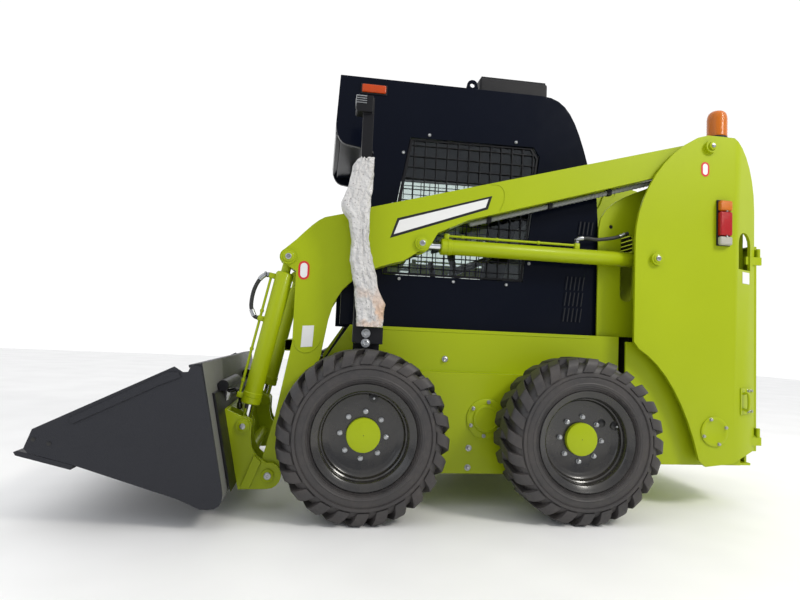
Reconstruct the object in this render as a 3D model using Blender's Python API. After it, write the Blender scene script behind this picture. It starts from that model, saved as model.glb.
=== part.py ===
"""Skid steer loader: rigid frame on four driven wheels, two lift arms that pivot on rear towers, and a bucket.

Metres, +Z up. The loader drives towards -X and its left side is at -Y. Outlines are written from the
front axle's centre line (x = 0) and the ground (z = 0); the empty "machine" then carries everything so
that the origin lies on the ground under the middle of the loader's box.
"""

import bmesh
import bpy
from math import atan2, ceil, cos, hypot, pi, radians, sin, tan
from mathutils import Matrix, Vector

# ---------------------------------------------------------------- driving dimensions
GAP = 0.0003                 # between pieces that touch
RUN = 0.006                  # running clearance beside a moving piece
PLATE = 0.012                # frame plate
TOWER_PLATE = 0.016          # outer plates of the towers

WHEELBASE = 1.038
TYRE_R = 0.3865
TYRE_W = 0.264
TYRE_WALL = 0.020
HALF_WIDTH = 0.840           # over the tyres
RIM_SEAT_R = 0.2095
RIM_FLANGE_R = 0.2350
RIM_METAL = 0.007
DISC_DEPTH = 0.096           # wheel disc behind the tyre's outer face
CAP_R = 0.077
CAP_PROUD = 0.022
HUB_R = 0.080
AXLE_R = 0.055

CASE_HALF = 0.530            # half width over the chain cases
SIDE_HALF = 0.490            # half width over the upper side panels
FLOOR_Z = 0.168
CASE_TOP = 0.667
DECK_Z = 0.885               # top of the upper side panels, where the cab stands
FRAME_FRONT = -0.190
SIDE_FRONT = -0.070          # top front corner of the upper side panel
SIDE_REAR = 1.366
REAR_PANEL_FRONT = 1.385
REAR_PANEL_TOP = 0.860
REAR_PANEL_END = 2.055
REAR_FLOOR_Z = 0.225
FRAME_REAR = 2.120
TAIL_HALF = 0.495

TOWER_HALF = 0.600           # outer face of the tower's outer plate
INNER_HALF = 0.435           # inboard face of the tower's inner plate
TOWER_TOP = 1.990
TOWER_FRONT = 1.390
TOWER_CORNER = 1.957         # where the outer plate meets the chamfer
TOWER_REAR = 2.160
CHAMFER_IN = 0.500           # half width at the rear edge of the chamfer
TOWER_FOOT = 0.250

ARM_IN, ARM_OUT = 0.455, 0.565
ARM_WALL = 0.010
ARM_PIVOT = (1.810, 1.925)
ARM_END_R = 0.044
PIN_R = 0.020
PIVOT_PIN_R = 0.022
PIN_CLEAR = 0.0006
LIFT_ROD_PIN = (0.265, 1.305)
LIFT_BASE_PIN = (1.507, 1.300)
TILT_TOP_PIN = (-0.385, 1.198)
TILT_ROD_PIN = (-0.549, 0.390)
BUCKET_PIN = (-0.424, 0.164)
LUG_R = 0.043                # bosses round the cylinder pins
LEG_END_R = 0.052

CYL_LINE = (ARM_IN + ARM_OUT) / 2
EYE_HALF = 0.025             # half thickness of a cylinder eye
SLOT_HALF = EYE_HALF + RUN
EYE_R = 0.038
LIFT_BARREL_R, LIFT_ROD_R = 0.039, 0.0200
TILT_BARREL_R, TILT_ROD_R = 0.043, 0.0225
BARREL_WALL = 0.009
PIPE_R = 0.007
PIPE_RISE = 0.018            # pipe's centre line over the barrel
PORT_RISE = 0.030

EAR = 0.018                  # coupler ear plate
COUPLER_HALF = ARM_OUT + RUN + EAR
COUPLER_PLATE = 0.012
MOUNT_HALF = 0.760           # bucket's black mounting frame
BUCKET_HALF = 0.870
BUCKET_SHEET = 0.010
EDGE_THICK = 0.020
EDGE_LENGTH = 0.216

CAB_HALF = 0.420
CAB_WALL = 0.028
CAB_ROOF_Z = 2.195
CAB_FRONT = -0.178           # front of the roof overhang
CAB_REAR = 1.275
POST_X = -0.120              # foot of the cab's front post
PILLAR_X = 0.012             # upper front edge of the cab side
FOOTWELL_Z = 0.420
FOOTWELL_HALF = 0.390
FOOTWELL_REAR = 0.420
SEAT_HALF = 0.220

LAMP_POST = (-0.064, -0.012)  # fore and aft faces of the lamp post
LAMP_POST_IN, LAMP_POST_OUT = 0.612, 0.660
LAMP_POST_TOP = 1.985

DOOR_BOTTOM, DOOR_TOP = 0.290, 1.430
DOOR_FACE = 2.200
DOOR_DEPTH = 0.035
DOOR_HALF = 0.470
DOOR_HINGE = (2.184, -0.500)
HOOD_HINGE = (1.325, 1.500)
HOOD_PIN = (1.334, 1.487)     # in the hood's side skirt
HOOD_PIN_R = 0.010

EDGE_ROOT, EDGE_TIP = (-1.167, 0.266), (-1.300, 0.3005)   # on the underside of the bucket's floor

HUB_BACK = 0.175             # hub's inner face behind the tyre's outer face
WHEEL_SIDES = 28
COUPLER_FACE = PLATE + 2 * GAP             # coupler plate to the mounting frame
WINDOW = ((0.085, 1.157), (0.848, 1.157), (0.925, 1.850), (0.890, 1.900), (0.205, 1.893))  # side window
BAR_PIVOT = (0.985, 1.420)          # restraint bar
HOSE_R = 0.010
LIFT_SPAN, LIFT_PORTS = (0.085, 1.137), (0.400, 1.107)  # barrel ends and ports from the base pin
TILT_SPAN, TILT_PORTS = (0.075, 0.728), (0.105, 0.320, 0.698)

SIDES = (("l", -1), ("r", 1))


# ---------------------------------------------------------------- shape helpers
def clear_scene():
    for old in list(bpy.data.objects):
        bpy.data.objects.remove(old, do_unlink=True)


def arc(centre, radius, start, end, steps):
    """Points on an arc in the XZ plane, angles in degrees from +X towards +Z."""
    angles = [radians(start + (end - start) * i / steps) for i in range(steps + 1)]
    return [(centre[0] + radius * cos(a), centre[1] + radius * sin(a)) for a in angles]


def bezier(p0, p1, p2, p3, steps):
    points = []
    for i in range(steps + 1):
        t = i / steps
        a, b, c, d = (1 - t) ** 3, 3 * t * (1 - t) ** 2, 3 * t * t * (1 - t), t ** 3
        points.append(tuple(a * p0[k] + b * p1[k] + c * p2[k] + d * p3[k] for k in range(2)))
    return points


def rounded(points, steps=4):
    """Corners given as (x, z) stay sharp, and those given as (x, z, radius) become arcs."""
    out = []
    count = len(points)
    for i, point in enumerate(points):
        if len(point) == 2:
            out.append(point)
            continue
        here = Vector(point[:2])
        before = (Vector(points[i - 1][:2]) - here).normalized()
        after = (Vector(points[(i + 1) % count][:2]) - here).normalized()
        half = before.angle(after) / 2
        reach = point[2] / tan(half)
        centre = here + (before + after).normalized() * point[2] / sin(half)
        first, last = here + before * reach, here + after * reach
        a0 = atan2(first.y - centre.y, first.x - centre.x)
        sweep = atan2(last.y - centre.y, last.x - centre.x) - a0
        sweep = (sweep + pi) % (2 * pi) - pi
        for k in range(steps + 1):
            a = a0 + sweep * k / steps
            out.append((centre.x + point[2] * cos(a), centre.y + point[2] * sin(a)))
    return out


def offset(line, distance):
    """An open polyline moved sideways, to the left of its direction."""
    moved = []
    for i, point in enumerate(line):
        here = Vector(point)
        before = (here - Vector(line[max(i - 1, 0)])).normalized()
        after = (Vector(line[min(i + 1, len(line) - 1)]) - here).normalized()
        before = before if before.length else after
        after = after if after.length else before
        normal = Vector((-(before + after).y, (before + after).x)).normalized()
        cosine = max(normal.dot(Vector((-before.y, before.x))), 0.35)
        moved.append(tuple(here + normal * distance / cosine))
    return moved


def ribbon(line, thickness):
    """The closed outline of a bent sheet whose one face is the given polyline."""
    return list(line) + offset(line, thickness)[::-1]


def finish_mesh(name, bm, material):
    bmesh.ops.recalc_face_normals(bm, faces=bm.faces)
    mesh = bpy.data.meshes.new(name)
    bm.to_mesh(mesh)
    bm.free()
    mesh.materials.append(material)
    obj = bpy.data.objects.new(name, mesh)
    bpy.context.scene.collection.objects.link(obj)
    return obj


def slab(name, outline, low, high, material, frame=None):
    """A prism: an outline in XZ carried along Y, or in another plane given by its frame matrix."""
    bm = bmesh.new()
    ends = [[bm.verts.new((x, y, z)) for x, z in outline] for y in (low, high)]
    bm.faces.new(ends[0])
    bm.faces.new(ends[1][::-1])
    count = len(outline)
    for i in range(count):
        j = (i + 1) % count
        bm.faces.new((ends[0][i], ends[1][i], ends[1][j], ends[0][j]))
    if frame:
        bmesh.ops.transform(bm, matrix=frame, verts=bm.verts)
    return finish_mesh(name, bm, material)


def block(name, x, y, z, material):
    outline = [(x[0], z[0]), (x[1], z[0]), (x[1], z[1]), (x[0], z[1])]
    return slab(name, outline, min(y), max(y), material)


def sided(side, a, b):
    """Two distances from the middle plane, as low and high Y on one side of the loader."""
    return min(side * a, side * b), max(side * a, side * b)


def turned(name, profile, start, direction, material, segments=24):
    """A solid of revolution: a closed loop of (radius, distance along the axis)."""
    bm = bmesh.new()
    rings = []
    for radius, along in profile:
        if radius < 1e-6:
            rings.append([bm.verts.new((0, 0, along))])
            continue
        angles = [2 * pi * i / segments for i in range(segments)]
        rings.append([bm.verts.new((radius * cos(a), radius * sin(a), along)) for a in angles])
    for i, ring in enumerate(rings):
        following = rings[(i + 1) % len(rings)]
        if len(ring) == 1 and len(following) == 1:
            continue
        for k in range(segments):
            m = (k + 1) % segments
            corners = [ring[k % len(ring)], ring[m % len(ring)], following[m % len(following)],
                       following[k % len(following)]]
            bm.faces.new(list(dict.fromkeys(corners)))
    turn = Vector((0, 0, 1)).rotation_difference(Vector(direction)).to_matrix().to_4x4()
    bmesh.ops.transform(bm, matrix=Matrix.Translation(start) @ turn, verts=bm.verts)
    return finish_mesh(name, bm, material)


def rod(name, start, end, radius, material, segments=16):
    length = (Vector(end) - Vector(start)).length
    profile = [(0, 0), (radius, 0), (radius, length), (0, length)]
    return turned(name, profile, start, Vector(end) - Vector(start), material, segments)


def pin(name, centre, radius, low, high, material, segments=16):
    return rod(name, (centre[0], low, centre[1]), (centre[0], high, centre[1]), radius, material, segments)


def combine(target, others, operation):
    """Joins the others to the target, or cuts them out of it, and removes them."""
    for other in others:
        modifier = target.modifiers.new(operation.lower(), "BOOLEAN")
        modifier.operation = operation
        modifier.solver = "EXACT"
        modifier.object = other
        bpy.context.view_layer.update()
        graph = bpy.context.evaluated_depsgraph_get()
        mesh = bpy.data.meshes.new_from_object(target.evaluated_get(graph))
        mesh.materials.clear()
        mesh.materials.append(target.data.materials[0])
        for polygon in mesh.polygons:
            polygon.material_index = 0
        target.modifiers.clear()
        old = target.data
        target.data = mesh
        bpy.data.meshes.remove(old)
        bpy.data.objects.remove(other, do_unlink=True)
    return target


def join(target, *others):
    return combine(target, others, "UNION")


def cut(target, *cutters):
    return combine(target, cutters, "DIFFERENCE")


def hose(name, points, radius, material, resolution=2):
    curve = bpy.data.curves.new(name, "CURVE")
    curve.dimensions = "3D"
    curve.bevel_depth = radius
    curve.bevel_resolution = resolution
    curve.use_fill_caps = True
    spline = curve.splines.new("POLY")
    spline.points.add(len(points) - 1)
    for target, point in zip(spline.points, points):
        target.co = (*point, 1)
    curve.materials.append(material)
    obj = bpy.data.objects.new(name, curve)
    bpy.context.scene.collection.objects.link(obj)
    return obj


def smooth_path(points, spacing):
    """A Catmull-Rom curve through the points, sampled about every spacing."""
    knots = [Vector(p) for p in points]
    knots = [2 * knots[0] - knots[1]] + knots + [2 * knots[-1] - knots[-2]]
    path = [knots[1]]
    for i in range(1, len(knots) - 2):
        a, b, c, d = knots[i - 1:i + 3]
        steps = max(1, ceil((c - b).length / spacing))
        for k in range(1, steps + 1):
            t = k / steps
            path.append(0.5 * (2 * b + (c - a) * t + (2 * a - 5 * b + 4 * c - d) * t ** 2
                               + (3 * b - a - 3 * c + d) * t ** 3))
    return path


# ---------------------------------------------------------------- materials
def paint(name, colour, roughness, metallic=0.0):
    material = bpy.data.materials.new(name)
    material.use_nodes = True
    shader = material.node_tree.nodes["Principled BSDF"]
    shader.inputs["Base Color"].default_value = (*colour, 1)
    shader.inputs["Roughness"].default_value = roughness
    shader.inputs["Metallic"].default_value = metallic
    material.diffuse_color = (*colour, 1)
    return material


# ---------------------------------------------------------------- bodies
BODIES = {
    "machine": ((0, 0, 0), None),
    "lift_arm": ((ARM_PIVOT[0], 0, ARM_PIVOT[1]), "machine"),
    "bucket": ((BUCKET_PIN[0], 0, BUCKET_PIN[1]), "lift_arm"),
    "rear_door": ((DOOR_HINGE[0], DOOR_HINGE[1], DOOR_BOTTOM), "machine"),
    "engine_hood": ((HOOD_PIN[0], 0, HOOD_PIN[1]), "machine"),
}


def make_bodies():
    """One empty on each joint's axis, so that a body's pieces turn about their own origin."""
    bodies = dict(BODIES)
    wheel_y = HALF_WIDTH - TYRE_W / 2
    for side, sign in SIDES:
        bodies["wheel_f" + side] = ((0, sign * wheel_y, TYRE_R), "machine")
        bodies["wheel_r" + side] = ((WHEELBASE, sign * wheel_y, TYRE_R), "machine")
        y = sign * CYL_LINE
        bodies["lift_barrel_" + side] = ((LIFT_BASE_PIN[0], y, LIFT_BASE_PIN[1]), "machine")
        bodies["lift_rod_" + side] = ((LIFT_ROD_PIN[0], y, LIFT_ROD_PIN[1]), "lift_barrel_" + side)
        bodies["tilt_barrel_" + side] = ((TILT_TOP_PIN[0], y, TILT_TOP_PIN[1]), "lift_arm")
        bodies["tilt_rod_" + side] = ((TILT_ROD_PIN[0], y, TILT_ROD_PIN[1]), "tilt_barrel_" + side)
    bodies["restraint"] = ((BAR_PIVOT[0], 0, BAR_PIVOT[1]), "machine")
    empties = {}
    middle = (min(x for x, _ in edge_outline()) + DOOR_FACE) / 2
    for name, (pivot, parent) in bodies.items():
        empty = bpy.data.objects.new("axis_" + name, None)
        bpy.context.scene.collection.objects.link(empty)
        empties[name] = (empty, Vector(pivot))
        if parent is None:
            empty.location = (-middle, 0, 0)
        else:
            empty.parent = empties[parent][0]
            empty.location = Vector(pivot) - empties[parent][1]
    return empties


def carry(obj, body, empties):
    """Puts a piece on a body, with the piece's origin on the body's axis."""
    empty, pivot = empties[body]
    if obj.type == "MESH":
        obj.data.transform(Matrix.Translation(-pivot))
    else:
        for point in obj.data.splines[0].points:
            point.co = (*(Vector(point.co[:3]) - pivot), 1)
    obj.parent = empty
    return obj


# ---------------------------------------------------------------- frame
def tub_section():
    """Cross-section of the tub in YZ, written as (y, z): floor, chain case walls, ledges, side panels."""
    right = [(CASE_HALF, FLOOR_Z), (CASE_HALF, CASE_TOP), (SIDE_HALF, CASE_TOP), (SIDE_HALF, DECK_Z),
             (SIDE_HALF - PLATE, DECK_Z), (SIDE_HALF - PLATE, CASE_TOP - PLATE),
             (CASE_HALF - PLATE, CASE_TOP - PLATE), (CASE_HALF - PLATE, FLOOR_Z + PLATE)]
    return right + [(-y, z) for y, z in right[::-1]]


def build_frame(mats):
    green = mats["green"]
    along = Matrix(((0, 1, 0, 0), (1, 0, 0, 0), (0, 0, 1, 0), (0, 0, 0, 1)))
    frame = slab("lower_frame", tub_section(), FRAME_FRONT, SIDE_REAR, green, along)
    nose = [(FRAME_FRONT - 0.1, 1.0), (SIDE_FRONT, 1.0), (SIDE_FRONT, DECK_Z), (FRAME_FRONT, 0.700),
            (FRAME_FRONT, 0.300), (FRAME_FRONT + 0.090, 0.0), (FRAME_FRONT - 0.1, 0.0)]
    cut(frame, slab("nose", nose, -1, 1, green))
    sill = [(FRAME_FRONT, 0.300), (FRAME_FRONT + 0.0386, FLOOR_Z + PLATE / 2),
            (FRAME_FRONT + 0.0386 + 2 * PLATE, FLOOR_Z + PLATE / 2), (FRAME_FRONT + PLATE, 0.310),
            (FRAME_FRONT + PLATE, FOOTWELL_Z - 0.012), (FRAME_FRONT, FOOTWELL_Z - 0.012)]
    join(frame, slab("sill", sill, -CASE_HALF + PLATE / 2, CASE_HALF - PLATE / 2, green))
    for _, sign in SIDES:
        cheek = [(FRAME_FRONT, 0.310), (FRAME_FRONT + PLATE, 0.310), (FRAME_FRONT + PLATE, 0.66),
                 (FRAME_FRONT, 0.66)]
        y0, y1 = sided(sign, FOOTWELL_HALF + 0.010, CASE_HALF - PLATE / 2)
        join(frame, slab("cheek", cheek, y0, y1, green))
        low, high = sided(sign, CASE_HALF - PLATE, CASE_HALF)
        panel = [(SIDE_REAR - 0.02, FLOOR_Z), (1.450, FLOOR_Z), (1.525, REAR_FLOOR_Z),
                 (REAR_PANEL_END, REAR_FLOOR_Z), (REAR_PANEL_END, REAR_PANEL_TOP),
                 (REAR_PANEL_FRONT, REAR_PANEL_TOP), (REAR_PANEL_FRONT, FLOOR_Z + 0.05),
                 (SIDE_REAR - 0.02, FLOOR_Z + 0.05)]
        join(frame, slab("rear_panel", panel, low, high, green))
        for x in (0, WHEELBASE):
            housing = [(0, 0), (0.085, 0), (0.085, PLATE + 0.012), (AXLE_R, 0.045),
                       (AXLE_R, axle_reach()), (0, axle_reach())]
            start = (x, sign * (CASE_HALF - PLATE / 2), TYRE_R)
            join(frame, turned("axle", housing, start, (0, sign, 0), green, 20))
    floor = [(SIDE_REAR - 0.02, FLOOR_Z), (1.450, FLOOR_Z), (1.525, REAR_FLOOR_Z),
             (FRAME_REAR, REAR_FLOOR_Z), (FRAME_REAR, REAR_FLOOR_Z + PLATE),
             (1.520, REAR_FLOOR_Z + PLATE), (1.445, FLOOR_Z + PLATE), (SIDE_REAR - 0.02, FLOOR_Z + PLATE)]
    join(frame, slab("rear_floor", floor, -CASE_HALF + PLATE / 2, CASE_HALF - PLATE / 2, green))
    tail_z = (REAR_FLOOR_Z + PLATE / 2, DOOR_BOTTOM - RUN)
    join(frame, block("tail", (FRAME_REAR - PLATE, FRAME_REAR), (-TAIL_HALF, TAIL_HALF), tail_z, green))
    return frame


def axle_reach():
    """Length of an axle housing, from the middle of the chain case wall to the hub."""
    return hub_face() - RUN - (CASE_HALF - PLATE / 2)


def hub_face():
    """Distance of the wheel hub's inner face from the middle plane."""
    return HALF_WIDTH - HUB_BACK


def build_engine(mats):
    base = REAR_FLOOR_Z + PLATE + GAP
    shape = [(1.560, base), (2.000, base), (2.000, 0.900), (1.930, 0.960), (1.560, 0.960)]
    return slab("engine", shape, -0.260, 0.260, mats["iron"])


# ---------------------------------------------------------------- towers
def tower_outline():
    front = bezier((TOWER_FRONT, 1.400), (TOWER_FRONT, 1.600), (1.520, 1.860), (1.740, TOWER_TOP - 0.018), 9)
    arch = bezier((1.420, 0.825), (1.560, 0.750), (1.690, 0.550), (1.762, TOWER_FOOT + 0.010), 8)
    return ([(TOWER_CORNER, TOWER_TOP), (1.800, TOWER_TOP)] + front[::-1] + [(TOWER_FRONT, 0.862)] + arch
            + [(1.800, TOWER_FOOT - 0.020), (TOWER_CORNER, TOWER_FOOT - 0.002)])


def chamfer_angle():
    return atan2(TOWER_HALF - CHAMFER_IN, TOWER_REAR - TOWER_CORNER)


def chamfer_frame(sign):
    """Matrix of a tower's chamfer: x along the plate, y through it towards the inside, z up."""
    angle = chamfer_angle()
    along = Vector((cos(angle), -sign * sin(angle), 0))
    inward = Vector((-sin(angle), -sign * cos(angle), 0))
    matrix = Matrix((along, inward, Vector((0, 0, 1)))).transposed().to_4x4()
    return Matrix.Translation((TOWER_CORNER, sign * TOWER_HALF, 0)) @ matrix


def build_tower(side, sign, mats):
    green = mats["green"]
    low, high = sided(sign, TOWER_HALF - TOWER_PLATE, TOWER_HALF)
    outer = slab("tower_outer_" + side, tower_outline(), low, high, green)
    width = hypot(TOWER_REAR - TOWER_CORNER, TOWER_HALF - CHAMFER_IN)
    crest = bezier((0.0, TOWER_TOP), (0.10, 1.985), (width, 1.840), (width, 1.620), 7)
    chamfer = crest + [(width, 0.300), (0.0, TOWER_FOOT - 0.002)]
    plate = slab("chamfer", chamfer, 0, TOWER_PLATE, green, chamfer_frame(sign))
    slot = [(0.050, 1.280), (0.180, 1.280)] + arc((0.115, 1.420), 0.065, 0, 180, 8)
    cut(plate, slab("slot", slot, -0.05, 0.05, green, chamfer_frame(sign)))
    join(outer, plate)
    web = sided(sign, INNER_HALF + PLATE + GAP, TOWER_HALF - TOWER_PLATE / 2)
    join(outer, block("web", (1.925, 1.937), web, (REAR_PANEL_TOP + 0.004, TOWER_TOP - 0.006), green))
    join(outer, block("cap", (1.862, TOWER_CORNER - 0.004), web, (TOWER_TOP - PLATE, TOWER_TOP), green))
    foot = sided(sign, CASE_HALF + GAP, TOWER_HALF - TOWER_PLATE / 2)
    join(outer, block("foot", (1.800, 1.930), foot, (0.270, 0.282), green))
    join(outer, block("stay", (1.600, 1.800), foot, (0.800, 0.812), green))
    for centre, radius, proud in ((ARM_PIVOT, 0.034, 0.020), (LIFT_BASE_PIN, 0.034, 0.018)):
        y = sided(sign, TOWER_HALF - TOWER_PLATE / 2, TOWER_HALF + proud)
        join(outer, pin("boss", centre, radius, *y, green, 20))
    hole = sided(sign, TOWER_HALF - 0.1, TOWER_HALF + 0.1)
    cut(outer, pin("hole", ARM_PIVOT, PIVOT_PIN_R + PIN_CLEAR, *hole, green, 20))
    shaft = sided(sign, INNER_HALF + PLATE + GAP, TOWER_HALF - TOWER_PLATE / 2)
    join(outer, pin("base_pin", LIFT_BASE_PIN, PIN_R, *shaft, green, 16))
    if sign < 0:
        for z in (DOOR_BOTTOM + 0.060, DOOR_TOP - 0.090):
            join(outer, hinge_leaf(z, green))

    front = bezier((1.262, 1.470), (1.262, 1.600), (1.400, 1.660), (1.530, 1.712), 6)
    crown = bezier((1.700, 1.800), (1.740, 1.850), (1.745, 1.940), (1.790, TOWER_TOP - 0.02), 4)
    rear = bezier((1.955, TOWER_TOP - 0.02), (2.050, 1.975), (2.135, 1.840), (2.135, 1.640), 6)
    foot_z = REAR_FLOOR_Z + PLATE + GAP
    outline = ([(1.262, DECK_Z + GAP)] + front + crown + rear
               + [(2.135, DOOR_TOP + 0.02), (FRAME_REAR - PLATE - 0.03, DOOR_TOP - 0.1),
                  (FRAME_REAR - PLATE - 0.03, foot_z), (1.560, foot_z), (1.560, DECK_Z + GAP)])
    low, high = sided(sign, INNER_HALF, INNER_HALF + PLATE)
    inner = slab("tower_inner_" + side, outline, low, high, green)
    window = rounded([(1.394, 1.080, 0.034), (1.466, 1.080, 0.034), (1.466, 1.450, 0.030), (1.394, 1.450, 0.030)], 4)
    cut(inner, slab("slot", window, -1, 1, green))
    cut(inner, pin("hole", ARM_PIVOT, PIVOT_PIN_R + PIN_CLEAR, -1, 1, green, 20))
    cut(inner, pin("hood_hole", HOOD_PIN, HOOD_PIN_R + PIN_CLEAR, -1, 1, green, 12))
    return outer, inner


def hinge_leaf(z, material):
    """A hinge bracket of the rear door on the left tower, which reaches to the door's hinge line."""
    return block("leaf", (TOWER_REAR - 0.060, DOOR_HINGE[0] + 0.012),
                 (DOOR_HINGE[1] - 0.012, DOOR_HINGE[1] + 0.004), (z - 0.022, z + 0.022), material)


# ---------------------------------------------------------------- wheels


def tyre_profile():
    seat = RIM_SEAT_R + GAP
    flange = RIM_FLANGE_R + 0.0015
    half = [(seat, 0.0275), (flange, 0.0190), (0.260, 0.004), (0.305, 0.0), (0.352, 0.006), (TYRE_R, 0.030)]
    inner = [(TYRE_R - TYRE_WALL, 0.045), (0.300, 0.020), (seat, 0.050)]
    outside = half + [(r, TYRE_W - t) for r, t in half[::-1]]
    inside = [(r, TYRE_W - t) for r, t in inner[::-1]] + inner
    return outside + inside


def rim_profile():
    seat, flange, metal = RIM_SEAT_R, RIM_FLANGE_R, RIM_METAL
    disc = DISC_DEPTH
    outer = [(flange, 0.010), (flange, 0.017), (seat, 0.026), (0.192, 0.092), (0.192, 0.160),
             (seat, TYRE_W - 0.026), (flange, TYRE_W - 0.017), (flange, TYRE_W - 0.010)]
    inner = [(seat - metal, TYRE_W - 0.022), (0.192 - metal, 0.166), (0.192 - metal, disc + 0.012),
             (HUB_R, disc + 0.012), (HUB_R, HUB_BACK), (0, HUB_BACK)]
    face = [(0, disc - CAP_PROUD), (CAP_R, disc - CAP_PROUD), (CAP_R, disc), (0.180, disc),
            (seat - metal, 0.024)]
    return face + outer + inner


def build_wheel(name, x, sign, mats):
    start = (x, sign * HALF_WIDTH, TYRE_R)
    inward = (0, -sign, 0)
    tyre = turned("tyre_" + name, tyre_profile(), start, inward, mats["rubber"], WHEEL_SIDES)
    rim = turned("rim_" + name, rim_profile(), start, inward, mats["gloss_black"], WHEEL_SIDES)
    return tyre, rim


# ---------------------------------------------------------------- lift arms
def arm_line(x, lower=False):
    """Height of the arm's upper or lower edge along its straight rear part."""
    if lower:
        return 1.585 + 0.2975 * (x - 0.984)
    return 1.510 + 0.2760 * (x - 0.145)


def arm_outline():
    knee = bezier((-0.352, 1.285), (-0.290, 1.352), (-0.240, 1.408), (-0.190, 1.412), 5)
    top = knee + [(-0.128, 1.428), (-0.004, 1.468), (0.145, 1.510)]
    end = arc(ARM_PIVOT, ARM_END_R, 105, -50, 7)
    throat = bezier((0.175, 1.212), (0.050, 1.180), (-0.150, 1.120), (-0.180, 0.900), 7)
    lug = arc(LIFT_ROD_PIN, LUG_R, -20, -110, 5)
    foot = arc(BUCKET_PIN, LEG_END_R, -20, -160, 8)
    head = arc(TILT_TOP_PIN, LUG_R, 205, 118, 5)
    return (top + end + [(1.700, arm_line(1.700, True)), (0.500, arm_line(0.500, True)),
                         (0.345, 1.365)] + lug + throat + [(-0.208, 0.726)] + foot
            + [(-0.452, 0.250), (-0.407, 0.439), (-0.346, 0.790), (-0.346, 1.130)] + head)


def arm_core():
    """The hollow inside the arm's box section."""
    wall = ARM_WALL
    return [(-0.300, 1.300), (-0.235, 1.385), (-0.125, 1.415), (0.145, 1.510 - wall),
            (1.680, arm_line(1.680) - wall), (1.680, arm_line(1.680, True) + wall),
            (0.505, arm_line(0.505, True) + wall), (0.330, 1.350), (0.180, 1.226), (0.040, 1.195),
            (-0.120, 1.120), (-0.190, 0.910), (-0.220, 0.720), (-0.375, 0.270), (-0.428, 0.270),
            (-0.397, 0.440), (-0.334, 0.790), (-0.334, 1.160)]


def build_arm(side, sign, mats):
    green = mats["green"]
    low, high = sided(sign, ARM_IN, ARM_OUT)
    arm = slab("arm_" + side, arm_outline(), low, high, green)
    core = sided(sign, ARM_IN + ARM_WALL, ARM_OUT - ARM_WALL)
    cut(arm, slab("core", arm_core(), *core, green))
    slot = sided(sign, CYL_LINE - SLOT_HALF, CYL_LINE + SLOT_HALF)
    cut(arm, block("head_slot", (-0.460, -0.325), slot, (1.100, 1.290), green))
    lug_slot = [(0.175, 1.180), (0.410, 1.180), (0.410, 1.345), (0.175, 1.345)]
    cut(arm, slab("lug_slot", lug_slot, *slot, green))
    for centre in (LIFT_ROD_PIN, TILT_TOP_PIN):
        outside = sided(sign, ARM_OUT - 0.002, ARM_OUT + 0.012)
        join(arm, pin("boss", centre, 0.036, *outside, green, 20))
    inside_wall = CYL_LINE - SLOT_HALF - 0.004
    outside_wall = CYL_LINE + SLOT_HALF + 0.004
    join(arm, pin("tilt_pin", TILT_TOP_PIN, PIN_R, *sided(sign, inside_wall, outside_wall), green, 16))
    pivot = sided(sign, INNER_HALF + 0.002, TOWER_HALF + 0.026)
    join(arm, pin("pivot_pin", ARM_PIVOT, PIVOT_PIN_R, *pivot, green, 20))
    spread = sided(sign, ARM_IN - RUN - EAR - 0.004, ARM_OUT + RUN + EAR + 0.004)
    join(arm, pin("foot_pin", BUCKET_PIN, PIN_R, *spread, green, 16))
    return arm


def build_cross_beam(mats):
    reach = ARM_IN - GAP
    beam = block("arm_cross_beam", (-0.385, -0.315), (-reach, reach), (0.742, 0.798), mats["gloss_black"])
    inner = block("bore", (-0.379, -0.321), (-reach - 1, reach + 1), (0.748, 0.792), mats["gloss_black"])
    return cut(beam, inner)


# ---------------------------------------------------------------- cylinders
def cylinder_frame(base, tip):
    """Direction and length from a cylinder's base pin to its rod pin, in XZ."""
    dx, dz = tip[0] - base[0], tip[1] - base[1]
    length = hypot(dx, dz)
    return Vector((dx / length, 0, dz / length)), length


def port_out(direction):
    """The way a cylinder's ports face: square to the cylinder, upwards on a level one, forwards on an upright one."""
    out = Vector((-direction.z, 0, direction.x))
    return -out if out.z - out.x < 0 else out


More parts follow.
